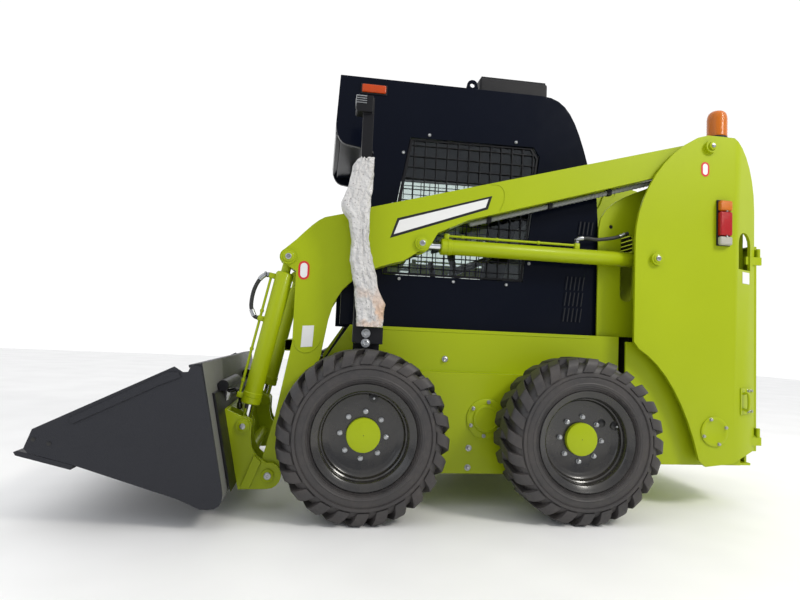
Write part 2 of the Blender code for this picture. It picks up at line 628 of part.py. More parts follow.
def build_cylinder(kind, side, sign, base, tip, barrel_r, rod_r, barrel_span, ports, mats):
    """A barrel with its base eye, port blocks and pipe, and a rod with its eye."""
    y = sign * CYL_LINE
    direction, length = cylinder_frame(base, tip)
    start = Vector((base[0], y, base[1]))
    first, last = barrel_span
    bore = rod_r + PIN_CLEAR
    profile = [(0, first), (barrel_r - 0.006, first), (barrel_r, first + 0.008), (barrel_r, last - 0.052),
               (barrel_r + 0.003, last - 0.050), (barrel_r + 0.003, last - 0.003), (barrel_r, last),
               (bore, last), (bore, last - 0.030), (barrel_r - BARREL_WALL, last - 0.032),
               (barrel_r - BARREL_WALL, first + 0.032), (0, first + 0.032)]
    barrel = turned(f"{kind}_barrel_{side}", profile, start, direction, mats["green"], 20)
    eye = pin("eye", base, EYE_R, y - EYE_HALF, y + EYE_HALF, mats["green"], 20)
    neck = rod("neck", start, start + direction * (first + 0.004), EYE_HALF * 0.9, mats["green"], 16)
    join(barrel, eye, neck)
    cut(barrel, pin("eye_hole", base, PIN_R + PIN_CLEAR, y - 0.1, y + 0.1, mats["green"], 16))
    out = port_out(direction)
    for along in ports:
        foot = start + direction * along
        join(barrel, rod("port", foot + out * (barrel_r - 0.006), foot + out * (barrel_r + PORT_RISE), 0.013,
                         mats["green"], 8))
    pipe = [start + direction * along + out * (barrel_r + PIPE_RISE) for along in (ports[0], ports[-1])]
    join(barrel, rod("pipe", *pipe, PIPE_R, mats["green"], 8))

    stem_end = first + 0.062
    tip_point = start + direction * length
    piston = start + direction * stem_end
    stem = rod(f"{kind}_rod_{side}", piston, tip_point - direction * (EYE_R * 0.6), rod_r, mats["chrome"], 20)
    join(stem, pin("eye", tip, EYE_R, y - EYE_HALF, y + EYE_HALF, mats["chrome"], 20))
    return barrel, stem


# ---------------------------------------------------------------- bucket and coupler
def back_line(z):
    """The bucket's back face: X at a height."""
    return -0.578 - 0.2177 * (z - 0.146)


def build_coupler(mats):
    green = mats["green"]
    top_z, low_z = 0.466, 0.118
    face = COUPLER_FACE
    plate = [(back_line(top_z) + face, top_z), (back_line(top_z) + face + COUPLER_PLATE, top_z),
             (back_line(low_z) + face + COUPLER_PLATE, low_z), (back_line(low_z) + face, low_z)]
    coupler = slab("coupler", plate, -COUPLER_HALF, COUPLER_HALF, green)
    ear = ([(back_line(top_z) + face + 0.004, top_z), (-0.520, 0.416)] + arc(TILT_ROD_PIN, 0.040, 20, 10, 1)
           + bezier((-0.510, 0.330), (-0.505, 0.262), (-0.470, 0.245), (-0.432, 0.222), 5)
           + arc(BUCKET_PIN, 0.062, 70, -90, 8) + [(back_line(low_z) + face + 0.004, 0.100)])
    for _, sign in SIDES:
        for inner_face in (ARM_OUT + RUN, ARM_IN - RUN - EAR):
            low, high = sided(sign, inner_face, inner_face + EAR)
            join(coupler, slab("ear", ear, low, high, green))
        for inner_face, proud in ((COUPLER_HALF - 0.002, 0.014), (ARM_IN - RUN - EAR - 0.012, 0.014)):
            y = sided(sign, inner_face, inner_face + proud)
            join(coupler, pin("boss", TILT_ROD_PIN, 0.032, *y, green, 16))
        reach = sided(sign, 0.3, 0.9)
        cut(coupler, pin("hole", BUCKET_PIN, PIN_R + PIN_CLEAR, *reach, green, 16))
    tube_y = ARM_IN - RUN - EAR / 2
    join(coupler, pin("tube", (-0.545, 0.200), 0.030, -tube_y, tube_y, green, 16))
    return coupler




def edge_outline():
    """The cutting edge under the front of the bucket's floor, with a blunt nose."""
    slope = (Vector(EDGE_TIP) - Vector(EDGE_ROOT)).normalized()
    under = Vector((-slope.y, slope.x))
    root = Vector(EDGE_ROOT) + slope * 0.002 + under * GAP
    tip = root + slope * EDGE_LENGTH
    nose = tip + slope * 0.012 + under * (EDGE_THICK * 0.45)
    return [tuple(p) for p in (root, tip, nose, tip + under * EDGE_THICK, root + under * EDGE_THICK)]


def build_bucket(mats):
    grey, black = mats["bucket_grey"], mats["matt_black"]
    heel = bezier((back_line(0.190), 0.190), (-0.565, 0.100), (-0.600, 0.084), (-0.668, 0.092), 6)
    line = ([(back_line(0.690), 0.690)] + heel + [(-0.755, 0.132), (-1.167, 0.266), (-1.300, 0.3005)])
    reach = BUCKET_HALF - BUCKET_SHEET - GAP
    shell = slab("bucket_shell", ribbon(line, -BUCKET_SHEET), -reach, reach, grey)
    lip = [(back_line(0.690), 0.690), (back_line(0.690) - 0.055, 0.680), (back_line(0.690) - 0.052, 0.668),
           (back_line(0.678) - 0.002, 0.676)]
    join(shell, slab("lip", lip, -reach, reach, grey))

    side = [(-1.356, 0.330), (-1.330, 0.406), (-0.806, 0.672), (-0.770, 0.650), (-0.749, 0.652), (-0.738, 0.680),
            (-0.698, 0.674)] + heel + [(-0.755, 0.132), (-1.167, 0.266), (-1.340, 0.312)]
    plates = []
    for name, sign in SIDES:
        low, high = sided(sign, BUCKET_HALF - BUCKET_SHEET, BUCKET_HALF)
        plates.append(slab("bucket_side_" + name, side, low, high, grey))

    blade = slab("cutting_edge", edge_outline(), -BUCKET_HALF, BUCKET_HALF, grey)

    top_z, low_z = 0.556, 0.132
    seat = GAP
    frame = [(back_line(top_z) + seat, top_z), (back_line(top_z) + seat + PLATE, top_z),
             (back_line(low_z) + seat + PLATE, low_z), (back_line(low_z + 0.06) + seat, low_z + 0.06)]
    mount = slab("bucket_mount", frame, -MOUNT_HALF, MOUNT_HALF, black)
    cut(mount, block("window", (-0.9, -0.3), (-0.400, 0.400), (0.200, 0.500), black))
    for _, sign in SIDES:
        low, high = sided(sign, 0.220, 0.620)
        join(mount, pin("lock_tube", (back_line(0.576) + 0.027, 0.576), 0.026, low, high, black, 16))
    return shell, plates, blade, mount


# ---------------------------------------------------------------- cab
def cab_outline():
    brow = [(PILLAR_X, 1.800), (-0.053, 1.815)] + bezier((-0.130, 1.826), (-0.165, 1.835), (-0.186, 1.870),
                                                         (-0.190, 1.930), 5)
    crown = bezier((0.930, CAB_ROOF_Z), (1.080, CAB_ROOF_Z), (1.130, 2.080), (1.205, 1.832), 8)
    return ([(POST_X, DECK_Z + GAP), (POST_X, 1.100), (PILLAR_X, 1.440)] + brow
            + [(CAB_FRONT, CAB_ROOF_Z)] + crown + [(1.262, 1.640), (CAB_REAR, 1.450), (CAB_REAR, DECK_Z + GAP)])




def build_cab(mats):
    navy = mats["navy"]
    pieces = []
    for side, sign in SIDES:
        low, high = sided(sign, CAB_HALF - CAB_WALL, CAB_HALF)
        wall = slab("cab_side_" + side, cab_outline(), low, high, navy)
        cut(wall, slab("window", WINDOW, -1, 1, navy))
        pieces.append(wall)
    reach = CAB_HALF - CAB_WALL - GAP
    wall_line = [(CAB_REAR, DECK_Z + GAP), (CAB_REAR, 1.450), (1.262, 1.640)]
    crown = bezier((1.205, 1.832), (1.130, 2.080), (1.080, CAB_ROOF_Z), (0.930, CAB_ROOF_Z), 8)
    roof_line = [(1.2596, 1.648)] + crown + [(CAB_FRONT, CAB_ROOF_Z), (-0.190, 1.930), (-0.186, 1.880)]
    roof = slab("cab_roof", ribbon(roof_line, CAB_WALL), -reach, reach, navy)
    rear = slab("cab_rear_wall", ribbon(wall_line, CAB_WALL), -reach, reach, navy)
    cut(rear, block("rear_window", (1.1, 1.4), (-0.300, 0.300), (1.120, 1.560), navy))
    brace_y = reach
    join(roof, block("visor_floor", (-0.160, -0.020), (-brace_y, brace_y), (1.862, 1.874), navy))
    join(roof, block("header", (-0.030, 0.005), (-brace_y, brace_y), (1.862, CAB_ROOF_Z - 0.01), navy))

    deck_y = SIDE_HALF - PLATE - GAP
    floor = block("cab_floor", (POST_X + 0.02, SIDE_REAR), (-deck_y, deck_y), (DECK_Z - 0.008, DECK_Z), navy)
    front = FRAME_FRONT + PLATE + GAP
    well = block("well", (front, FOOTWELL_REAR + 0.008), (-FOOTWELL_HALF - 0.008, FOOTWELL_HALF + 0.008),
                 (FOOTWELL_Z - 0.008, DECK_Z), navy)
    join(floor, well)
    cut(floor, block("space", (front - 1, FOOTWELL_REAR), (-FOOTWELL_HALF, FOOTWELL_HALF),
                     (FOOTWELL_Z, DECK_Z + 1), navy))
    slope_cut = [(-1, 2), (SIDE_FRONT + 0.010, 2), (SIDE_FRONT + 0.010, DECK_Z), (front + 0.004, 0.690), (-1, 0.690)]
    cut(floor, slab("slope", slope_cut, -1, 1, navy))
    return pieces + [roof, rear, floor]


def build_guards(mats):
    """Steel mesh in the side windows, each a frame with crossing bars inside the opening."""
    black = mats["matt_black"]
    guards = []
    middle = Vector((sum(x for x, _ in WINDOW) / len(WINDOW), sum(z for _, z in WINDOW) / len(WINDOW)))

    def shrunk(amount):
        return [tuple(middle + (Vector(p) - middle) * (1 - amount)) for p in WINDOW]

    for side, sign in SIDES:
        plane = CAB_HALF - CAB_WALL / 2
        low, high = sided(sign, plane - 0.004, plane + 0.004)
        guard = slab("window_guard_" + side, shrunk(0.0015), low, high, black)
        holes = []
        columns, rows = 6, 6
        left, right, bottom, top = 0.105, 0.905, 1.180, 1.875
        pitch_x, pitch_z = (right - left) / columns, (top - bottom) / rows
        for i in range(columns):
            for j in range(rows):
                x0, z0 = left + i * pitch_x, bottom + j * pitch_z
                cell = [(x0 + 0.006, z0 + 0.006), (x0 + pitch_x - 0.006, z0 + 0.006),
                        (x0 + pitch_x - 0.006, z0 + pitch_z - 0.006), (x0 + 0.006, z0 + pitch_z - 0.006)]
                if all(inside(corner, shrunk(0.05)) for corner in cell):
                    holes.append(slab("cell", cell, -1, 1, black))
        first = holes[0]
        for other in holes[1:]:
            first = merge(first, other)
        cut(guard, first)
        guards.append(guard)
    return guards


def inside(point, outline):
    """Whether a point lies in a convex outline that runs counterclockwise."""
    count = len(outline)
    for i in range(count):
        (ax, az), (bx, bz) = outline[i], outline[(i + 1) % count]
        if (bx - ax) * (point[1] - az) - (bz - az) * (point[0] - ax) < 0:
            return False
    return True


def merge(first, second):
    """Puts a second mesh that doesn't touch the first into the same object."""
    bm = bmesh.new()
    bm.from_mesh(first.data)
    bm.from_mesh(second.data)
    bm.to_mesh(first.data)
    bm.free()
    bpy.data.objects.remove(second, do_unlink=True)
    return first




def build_interior(mats):
    black, fabric = mats["plastic"], mats["seat"]
    base_z = DECK_Z + GAP
    station = block("operator_station", (0.440, 1.060), (-0.350, 0.350), (base_z, base_z + 0.012), black)
    join(station, block("pedestal", (0.560, 0.960), (-0.190, 0.190), (base_z + 0.006, 1.000), black))
    lean = 0.194                                        # of the seat back, in metres per metre of height
    bracket = [(0.990, base_z + 0.006), (1.010, base_z + 0.006), (1.013, 1.060),
               (0.998 + lean * 0.190 + 0.014, 1.250), (0.998 + lean * 0.190 + GAP, 1.250), (0.998 + GAP, 1.060)]
    join(station, slab("back_plate", bracket, -0.160, 0.160, black))
    for _, sign in SIDES:
        y = sided(sign, 0.255, 0.335)
        console = rounded([(0.450, base_z + 0.006), (1.000, base_z + 0.006), (1.000, 1.130, 0.04),
                           (0.500, 1.130, 0.03), (0.450, 1.060, 0.02)], 3)
        join(station, slab("console", console, *y, black))
        foot = Vector((0.520, sign * 0.295, 1.110))
        head = Vector((0.480, sign * 0.280, 1.290))
        join(station, rod("lever", foot, head, 0.010, black, 10))
        knob = [(0, -0.050), (0.016, -0.048), (0.021, -0.010), (0.019, 0.030), (0.010, 0.040), (0, 0.040)]
        join(station, turned("knob", knob, head, head - foot, black, 12))
    cushion = rounded([(0.480, 1.000 + GAP), (0.930, 1.000 + GAP), (0.930, 1.085, 0.02), (0.520, 1.110, 0.03),
                       (0.480, 1.080, 0.02)], 3)
    seat = slab("seat_cushion", cushion, -SEAT_HALF, SEAT_HALF, fabric)
    back = rounded([(0.905, 1.092 + RUN), (0.998, 1.060), (1.095, 1.560, 0.03), (1.020, 1.590, 0.04)], 3)
    rest = slab("seat_back", back, -SEAT_HALF, SEAT_HALF, fabric)
    wall = CAB_HALF - CAB_WALL - GAP
    x, z = BAR_PIVOT
    route = [(x, -wall, z), (x, -0.345, z), (x - 0.03, -0.330, z - 0.01), (0.680, -0.325, 1.285),
             (0.622, -0.305, 1.262), (0.597, -0.260, 1.255), (0.590, -0.200, 1.253)]
    route += [(px, -py, pz) for px, py, pz in route[::-1]]
    bar = hose("restraint_bar", route, 0.014, mats["matt_black"], 2)
    return station, seat, rest, bar


def build_roof_box(mats):
    shape = rounded([(0.590, CAB_ROOF_Z + GAP), (0.985, CAB_ROOF_Z + GAP), (0.985, 2.305, 0.02),
                     (0.590, 2.305, 0.02)], 3)
    return slab("roof_box", shape, -0.360, 0.360, mats["plastic"])


# ---------------------------------------------------------------- lamp posts, lamps
def build_lamp_post(side, sign, mats):
    black = mats["gloss_black"]
    x = LAMP_POST
    post = block("lamp_post_" + side, x, sided(sign, LAMP_POST_IN, LAMP_POST_OUT), (0.800, LAMP_POST_TOP), black)
    foot = sided(sign, SIDE_HALF + GAP, LAMP_POST_OUT)
    join(post, block("arm", (-0.051, 0.079), foot, (0.795, 0.874), black))
    flange = sided(sign, SIDE_HALF + GAP, SIDE_HALF + 0.014)
    join(post, block("flange", (-0.051, 0.079), flange, (0.700, 0.874), black))
    lamp = rounded([(-0.100, 1.905, 0.01), (-0.020, 1.905), (-0.020, 1.985), (-0.100, 1.985, 0.01)], 2)
    join(post, slab("lamp", lamp, *sided(sign, LAMP_POST_IN - 0.010, LAMP_POST_OUT + 0.020), black))
    rings = [(0.8755, -0.060, 0.079), (0.980, -0.065, 0.087), (1.060, -0.069, 0.052), (1.190, -0.098, 0.019),
             (1.290, -0.093, -0.006), (1.390, -0.112, -0.005), (1.425, -0.148, -0.005), (1.465, -0.151, -0.006),
             (1.530, -0.125, 0.002), (1.655, -0.102, 0.005), (1.680, -0.080, 0.004)]
    wrap = sleeve("post_wrap_" + side, rings, sign, mats["film"])
    return post, wrap


def sleeve(name, rings, sign, material):
    """Packing film wound round the post: an outer skin of eight-sided rings and a square hole for the post."""
    near, far = LAMP_POST_IN - 0.030, LAMP_POST_OUT + 0.045
    hole = ((LAMP_POST[0] - GAP, LAMP_POST[1] + GAP), (LAMP_POST_IN - GAP, LAMP_POST_OUT + GAP))
    bm = bmesh.new()
    skin, bore = [], []
    for z, left, right in rings:
        cut_x, cut_y, trim = (right - left) * 0.28, (far - near) * 0.28, 0.012
        right = max(right, LAMP_POST[1] + 0.004)
        loop = [(left + cut_x, near), (right - trim, near), (right, near + trim), (right, far - trim),
                (right - trim, far), (left + cut_x, far), (left, far - cut_y), (left, near + cut_y)]
        skin.append([bm.verts.new((px, sign * py, z)) for px, py in loop])
        (hx0, hx1), (hy0, hy1) = hole
        mid_x, mid_y = (hx0 + hx1) / 2, (hy0 + hy1) / 2
        square = [(hx0, hy0), (hx1, hy0), (hx1, mid_y), (hx1, hy1), (mid_x, hy1), (hx0, hy1), (hx0, mid_y)]
        square = [square[0], square[1], (hx1, mid_y - 0.004), (hx1, mid_y + 0.004), square[3], (hx0, hy1),
                  (hx0, mid_y + 0.004), (hx0, mid_y - 0.004)]
        bore.append([bm.verts.new((px, sign * py, z)) for px, py in square])
    for layers in (skin, bore):
        for lower, upper in zip(layers, layers[1:]):
            for k in range(8):
                bm.faces.new((lower[k], lower[(k + 1) % 8], upper[(k + 1) % 8], upper[k]))
    for level in (0, -1):
        for k in range(8):
            bm.faces.new((skin[level][k], skin[level][(k + 1) % 8], bore[level][(k + 1) % 8], bore[level][k]))
    return finish_mesh(name, bm, material)


def build_beacon(mats):
    profile = [(0, 0), (0.048, 0), (0.052, 0.006), (0.052, 0.022), (0.054, 0.026), (0.054, 0.120),
               (0.048, 0.150), (0.030, 0.164), (0, 0.168)]
    return turned("beacon", profile, (1.900, -0.535, TOWER_TOP + GAP), (0, 0, 1), mats["amber"], 20)


def build_tail_lamp(side, sign, mats):
    low, high = sided(sign, TOWER_HALF + GAP, TOWER_HALF + 0.034)
    shape = rounded([(1.848, 1.392, 0.008), (1.928, 1.392, 0.008), (1.928, 1.640, 0.008), (1.848, 1.640, 0.008)], 2)
    return slab("tail_lamp_" + side, shape, low, high, mats["red_lens"])


# ---------------------------------------------------------------- rear door and hood
def build_rear_door(mats):
    green = mats["green"]
    span = (DOOR_FACE - DOOR_DEPTH, DOOR_FACE)
    door = block("rear_door", span, (-DOOR_HALF, DOOR_HALF), (DOOR_BOTTOM, DOOR_TOP), green)
    skin = 0.006
    cut(door, block("inside", (span[0] - 0.1, DOOR_FACE - skin), (-DOOR_HALF + skin, DOOR_HALF - skin),
                    (DOOR_BOTTOM + skin, DOOR_TOP - skin), green))
    for row in range(7):
        z = 0.780 + row * 0.080
        for y in (-0.200, 0.200):
            cut(door, block("vent", (span[0], DOOR_FACE + 0.1), (y - 0.150, y + 0.150), (z, z + 0.030), green))
    for z in (DOOR_BOTTOM + 0.060, DOOR_TOP - 0.090):
        knuckle = rod("knuckle", (DOOR_HINGE[0], DOOR_HINGE[1], z + 0.022 + GAP),
                      (DOOR_HINGE[0], DOOR_HINGE[1], z + 0.070), 0.011, green, 12)
        strap = block("strap", (DOOR_HINGE[0] - 0.004, DOOR_HINGE[0] + 0.004),
                      (DOOR_HINGE[1], -DOOR_HALF + 0.004), (z + 0.028, z + 0.068), green)
        join(knuckle, strap)
        join(door, knuckle)
    return door


def build_hood(mats):
    green = mats["green"]
    line = [(HOOD_HINGE[0], HOOD_HINGE[1]), (1.900, 1.478), (2.120, 1.440)]
    half = INNER_HALF - RUN
    hood = slab("engine_hood", ribbon(line, -0.006), -half, half, green)
    for _, sign in SIDES:
        skirt = [(HOOD_HINGE[0], HOOD_HINGE[1]), (1.900, 1.478), (2.120, 1.440), (2.120, 1.412),
                 (1.900, 1.448), (HOOD_HINGE[0], 1.470)]
        join(hood, slab("skirt", skirt, *sided(sign, half - 0.005, half), green))
        stub = sided(sign, half - 0.004, INNER_HALF + PLATE - 0.001)
        join(hood, pin("stub", HOOD_PIN, HOOD_PIN_R, *stub, green, 12))
    for row in range(6):
        x = 1.480 + row * 0.070
        cut(hood, block("vent", (x, x + 0.030), (-0.280, 0.280), (1.3, 1.6), green))
    return hood


# ---------------------------------------------------------------- hoses
def build_hoses(side, sign, mats):
    black = mats["hose"]
    y = sign * CYL_LINE
    bundle_r = 0.015
    under = bundle_r + 0.0010
    route = [(x, y, arm_line(x, True) - under) for x in (0.520, 0.800, 1.100, 1.400, 1.600)]
    arm_hose = hose("arm_hose_" + side, smooth_path(route, 0.12), bundle_r, mats["sleeve"])

    def beside(base, tip, steps):
        """A route in the cylinder's own frame: distance along it, and out over its ports."""
        direction, _ = cylinder_frame(base, tip)
        start, out = Vector((base[0], y, base[1])), port_out(direction)
        return [start + direction * along + out * away for along, away in steps]

    rise = LIFT_BARREL_R + PORT_RISE + GAP
    port = LIFT_PORTS[0]
    lift_route = beside(LIFT_BASE_PIN, LIFT_ROD_PIN, [
        (port, rise), (port, rise + 0.012), (port - 0.014, rise + 0.026), (port - 0.060, rise + 0.030),
        (port - 0.120, rise + 0.028), (port - 0.220, rise + 0.046), (port - 0.290, rise + 0.074)])
    lift_hose = hose("lift_hose_" + side, smooth_path(lift_route, 0.030), HOSE_R, black)

    rise = TILT_BARREL_R + PORT_RISE + GAP
    upper, lower = TILT_PORTS[:2]
    tilt_route = beside(TILT_TOP_PIN, TILT_ROD_PIN, [
        (upper, rise), (upper, rise + 0.010), (upper + 0.025, rise + 0.034), (upper + 0.090, rise + 0.050),
        (lower - 0.050, rise + 0.044), (lower - 0.010, rise + 0.022), (lower, rise + 0.010), (lower, rise)])
    tilt_hose = hose("tilt_hose_" + side, smooth_path(tilt_route, 0.030), HOSE_R, black)
    return arm_hose, lift_hose, tilt_hose




# ---------------------------------------------------------------- assembly
def main():
    clear_scene()
    mats = {
        "green": paint("lime_paint", (0.38, 0.50, 0.010), 0.32),
        "navy": paint("navy_paint", (0.006, 0.009, 0.018), 0.22),
        "gloss_black": paint("gloss_black_paint", (0.010, 0.012, 0.012), 0.18),
        "matt_black": paint("matt_black_paint", (0.012, 0.012, 0.014), 0.50),
        "plastic": paint("black_plastic", (0.014, 0.014, 0.015), 0.45),
        "bucket_grey": paint("bucket_paint", (0.030, 0.032, 0.038), 0.45),
        "rubber": paint("tyre_rubber", (0.022, 0.020, 0.021), 0.75),
        "chrome": paint("chrome_rod", (0.72, 0.74, 0.76), 0.12, 1.0),
        "iron": paint("engine_iron", (0.05, 0.05, 0.05), 0.60),
        "seat": paint("seat_vinyl", (0.020, 0.020, 0.022), 0.55),
        "film": paint("packing_film", (0.80, 0.80, 0.78), 0.40),
        "amber": paint("amber_lens", (0.90, 0.30, 0.02), 0.20),
        "red_lens": paint("red_lens", (0.70, 0.03, 0.02), 0.20),
        "hose": paint("hose_rubber", (0.012, 0.014, 0.014), 0.55),
        "sleeve": paint("hose_sleeve", (0.060, 0.065, 0.060), 0.50),
    }
    empties = make_bodies()

    def put(body, *pieces):
        for piece in pieces:
            carry(piece, body, empties)

    put("machine", build_frame(mats), build_engine(mats))
    for side, sign in SIDES:
        put("machine", *build_tower(side, sign, mats), *build_lamp_post(side, sign, mats),
            build_tail_lamp(side, sign, mats))
        for end, x in (("f", 0), ("r", WHEELBASE)):
            put("wheel_" + end + side, *build_wheel(end + side, x, sign, mats))
        put("lift_arm", build_arm(side, sign, mats))
        barrel, stem = build_cylinder("lift", side, sign, LIFT_BASE_PIN, LIFT_ROD_PIN, LIFT_BARREL_R,
                                      LIFT_ROD_R, LIFT_SPAN, LIFT_PORTS, mats)
        put("lift_barrel_" + side, barrel)
        put("lift_rod_" + side, stem)
        barrel, stem = build_cylinder("tilt", side, sign, TILT_TOP_PIN, TILT_ROD_PIN, TILT_BARREL_R,
                                      TILT_ROD_R, TILT_SPAN, TILT_PORTS, mats)
        put("tilt_barrel_" + side, barrel)
        put("tilt_rod_" + side, stem)
        arm_hose, lift_hose, tilt_hose = build_hoses(side, sign, mats)
        put("lift_arm", arm_hose)
        put("lift_barrel_" + side, lift_hose)
        put("tilt_barrel_" + side, tilt_hose)
    put("lift_arm", build_cross_beam(mats))
    shell, plates, blade, mount = build_bucket(mats)
    put("bucket", build_coupler(mats), shell, *plates, blade, mount)
    put("machine", *build_cab(mats), *build_guards(mats), build_roof_box(mats), build_beacon(mats))
    station, seat, rest, bar = build_interior(mats)
    put("machine", station, seat, rest)
    put("restraint", bar)
    put("rear_door", build_rear_door(mats))
    put("engine_hood", build_hood(mats))


main()
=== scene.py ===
"""Skid steer loader: the detailed visual model and its studio.

Sizes are metres. Along the machine they are written from the front axle's centre line, rearwards, and
`place` moves them into the shared frame, whose origin lies on the ground under the middle of the loader.
"""

import logging
import random
from collections.abc import Callable, Iterable, Sequence
from dataclasses import dataclass
from enum import Enum
from math import ceil, cos, pi, radians, sin

import bmesh
import bpy
from bpy.types import Material, NodeTree, Object
from mathutils import Matrix, Vector, noise


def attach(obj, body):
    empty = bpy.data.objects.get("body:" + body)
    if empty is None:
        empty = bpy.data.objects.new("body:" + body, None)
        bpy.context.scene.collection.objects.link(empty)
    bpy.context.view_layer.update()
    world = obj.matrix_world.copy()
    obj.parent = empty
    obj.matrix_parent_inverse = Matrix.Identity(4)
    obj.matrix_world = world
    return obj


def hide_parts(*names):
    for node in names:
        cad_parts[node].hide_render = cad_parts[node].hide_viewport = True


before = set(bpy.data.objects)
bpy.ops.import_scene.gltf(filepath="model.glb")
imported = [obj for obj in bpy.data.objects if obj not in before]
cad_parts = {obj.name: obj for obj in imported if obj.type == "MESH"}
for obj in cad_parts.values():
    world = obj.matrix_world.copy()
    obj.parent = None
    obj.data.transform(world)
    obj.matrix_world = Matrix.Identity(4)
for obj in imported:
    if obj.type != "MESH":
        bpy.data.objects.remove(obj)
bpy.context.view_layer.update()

LOG = logging.getLogger("loader")
AXLE_X = -0.404
SEED = 7
Point = tuple[float, float]


def place(x: float, y: float, z: float) -> Vector:
    """A point given from the front axle, in the shared frame."""
    return Vector((x + AXLE_X, y, z))


# ------------------------------------------------------------------ modelling with Blender's tools
def rest_selection() -> None:
    """Leave edit mode and deselect every object."""
    if bpy.context.object and bpy.context.object.mode != "OBJECT":
        bpy.ops.object.mode_set(mode="OBJECT")
    bpy.ops.object.select_all(action="DESELECT")


def activate(piece: Object) -> None:
    """Select one object alone and make it the active one."""
    rest_selection()
    piece.select_set(True)
    bpy.context.view_layer.objects.active = piece


def named(name: str) -> Object:
    """Name the active object and its mesh.

    Args:
        name: the piece's name.

    Returns:
        The active object.
    """
    piece = bpy.context.object
    piece.name = name
    piece.data.name = name
    return piece


def settle(piece: Object) -> Object:
    """Apply an object's place, turn and scale to its mesh."""
    activate(piece)
    bpy.ops.object.transform_apply(location=True, rotation=True, scale=True)
    return piece


def tidy_mesh(piece: Object, merge: float = 1e-5) -> Object:
    """Merge doubled points and turn every face outwards.

    Args:
        piece: the object to clean.
        merge: distance under which two points become one.

    Returns:
        The same object.
    """
    activate(piece)
    bpy.ops.object.mode_set(mode="EDIT")
    bpy.ops.mesh.select_all(action="SELECT")
    bpy.ops.mesh.remove_doubles(threshold=merge)
    bpy.ops.mesh.dissolve_degenerate(threshold=merge)
    bpy.ops.mesh.delete_loose()
    bpy.ops.mesh.select_all(action="SELECT")
    bpy.ops.mesh.normals_make_consistent(inside=False)
    bpy.ops.object.mode_set(mode="OBJECT")
    return piece


def soften(piece: Object, width: float, segments: int = 2, angle: float = 32.0) -> Object:
    """Round the sharp edges with a bevel and shade the rest smooth.

    Args:
        piece: the object to round.
        width: bevel width in metres.
        segments: faces across each rounded edge.
        angle: edges that turn by more than this many degrees are rounded.

    Returns:
        The same object.
    """
    activate(piece)
    bevel = piece.modifiers.new("rounded edges", "BEVEL")
    bevel.width, bevel.segments = width, segments
    bevel.limit_method, bevel.angle_limit = "ANGLE", radians(angle)
    bevel.harden_normals = False
    bevel.use_clamp_overlap = True
    bpy.ops.object.modifier_apply(modifier=bevel.name)
    bpy.ops.object.shade_smooth_by_angle(angle=radians(40))
    level = piece.modifiers.new("level flats", "WEIGHTED_NORMAL")
    level.keep_sharp, level.weight = True, 100
    bpy.ops.object.modifier_apply(modifier=level.name)
    return piece


def outline_loop(name: str, points: Sequence[Sequence[float]], filled: bool) -> Object:
    """A circle primitive whose points are moved onto a closed outline.

    Args:
        name: the new object's name.
        points: three coordinates for each point.
        filled: whether the loop gets a face.

    Returns:
        The flat object.
    """
    rest_selection()
    bpy.ops.mesh.primitive_circle_add(vertices=len(points), radius=1,
                                      fill_type="NGON" if filled else "NOTHING")
    piece = named(name)
    for vertex, point in zip(piece.data.vertices, points):
        vertex.co = point
    return piece


def plate(name: str, outline: Sequence[Point], low: float, high: float, edge: float = 0.0) -> Object:
    """A plate cut to an outline in the XZ plane and given its thickness along Y.

    Args:
        name: the new object's name.
        outline: corners as (x, z), x from the front axle.
        low: y of one face.
        high: y of the other face.
        edge: width of the rounding on its edges, none if zero.

    Returns:
        The plate.
    """
    piece = outline_loop(name, [place(x, low, z) for x, z in outline], filled=True)
    bpy.ops.object.mode_set(mode="EDIT")
    bpy.ops.mesh.select_all(action="SELECT")
    bpy.ops.mesh.extrude_region_move(TRANSFORM_OT_translate={"value": (0, high - low, 0)})
    tidy_mesh(piece)
    return soften(piece, edge) if edge else piece


def block(name: str, low: Vector, high: Vector, edge: float = 0.002, segments: int = 2) -> Object:
    """A box between two corners with rounded edges.

    Args:
        name: the new object's name.
        low: lowest corner in the shared frame.
        high: highest corner.
        edge: width of the rounding.
        segments: faces across each rounded edge.

    Returns:
        The box.
    """
    rest_selection()
    middle, size = (low + high) / 2, high - low
    bpy.ops.mesh.primitive_cube_add(size=1, location=middle)
    piece = named(name)
    piece.scale = size
    settle(piece)
    return soften(piece, edge, segments) if edge else piece


def turned(name: str, profile: Sequence[Point], start: Vector, direction: Vector, steps: int = 48) -> Object:
    """A turned piece: a closed profile of (radius, distance along) spun round an axis.

    Args:
        name: the new object's name.
        profile: corners of the profile, in order round it.
        start: point on the axis where the distance is zero.
        direction: the axis.
        steps: faces round the piece.

    Returns:
        The turned piece.
    """
    piece = outline_loop(name, [(radius, 0, along) for radius, along in profile], filled=False)
    bpy.ops.object.mode_set(mode="EDIT")
    bpy.ops.mesh.select_all(action="SELECT")
    bpy.ops.mesh.spin(steps=steps, angle=2 * pi, center=(0, 0, 0), axis=(0, 0, 1))
    tidy_mesh(piece, 2e-6)
    turn = Vector((0, 0, 1)).rotation_difference(direction).to_matrix().to_4x4()
    piece.data.transform(Matrix.Translation(start) @ turn)
    activate(piece)
    bpy.ops.object.shade_smooth_by_angle(angle=radians(38))
    return piece


def rod(name: str, start: Vector, end: Vector, radius: float, edge: float = 0.001, steps: int = 24) -> Object:
    """A round bar with chamfered ends between two points."""
    length = (end - start).length
    edge = min(edge, radius * 0.4, length * 0.3)
    profile = [(0, 0), (radius - edge, 0), (radius, edge), (radius, length - edge), (radius - edge, length),
               (0, length)]
    return turned(name, profile, start, end - start, steps)


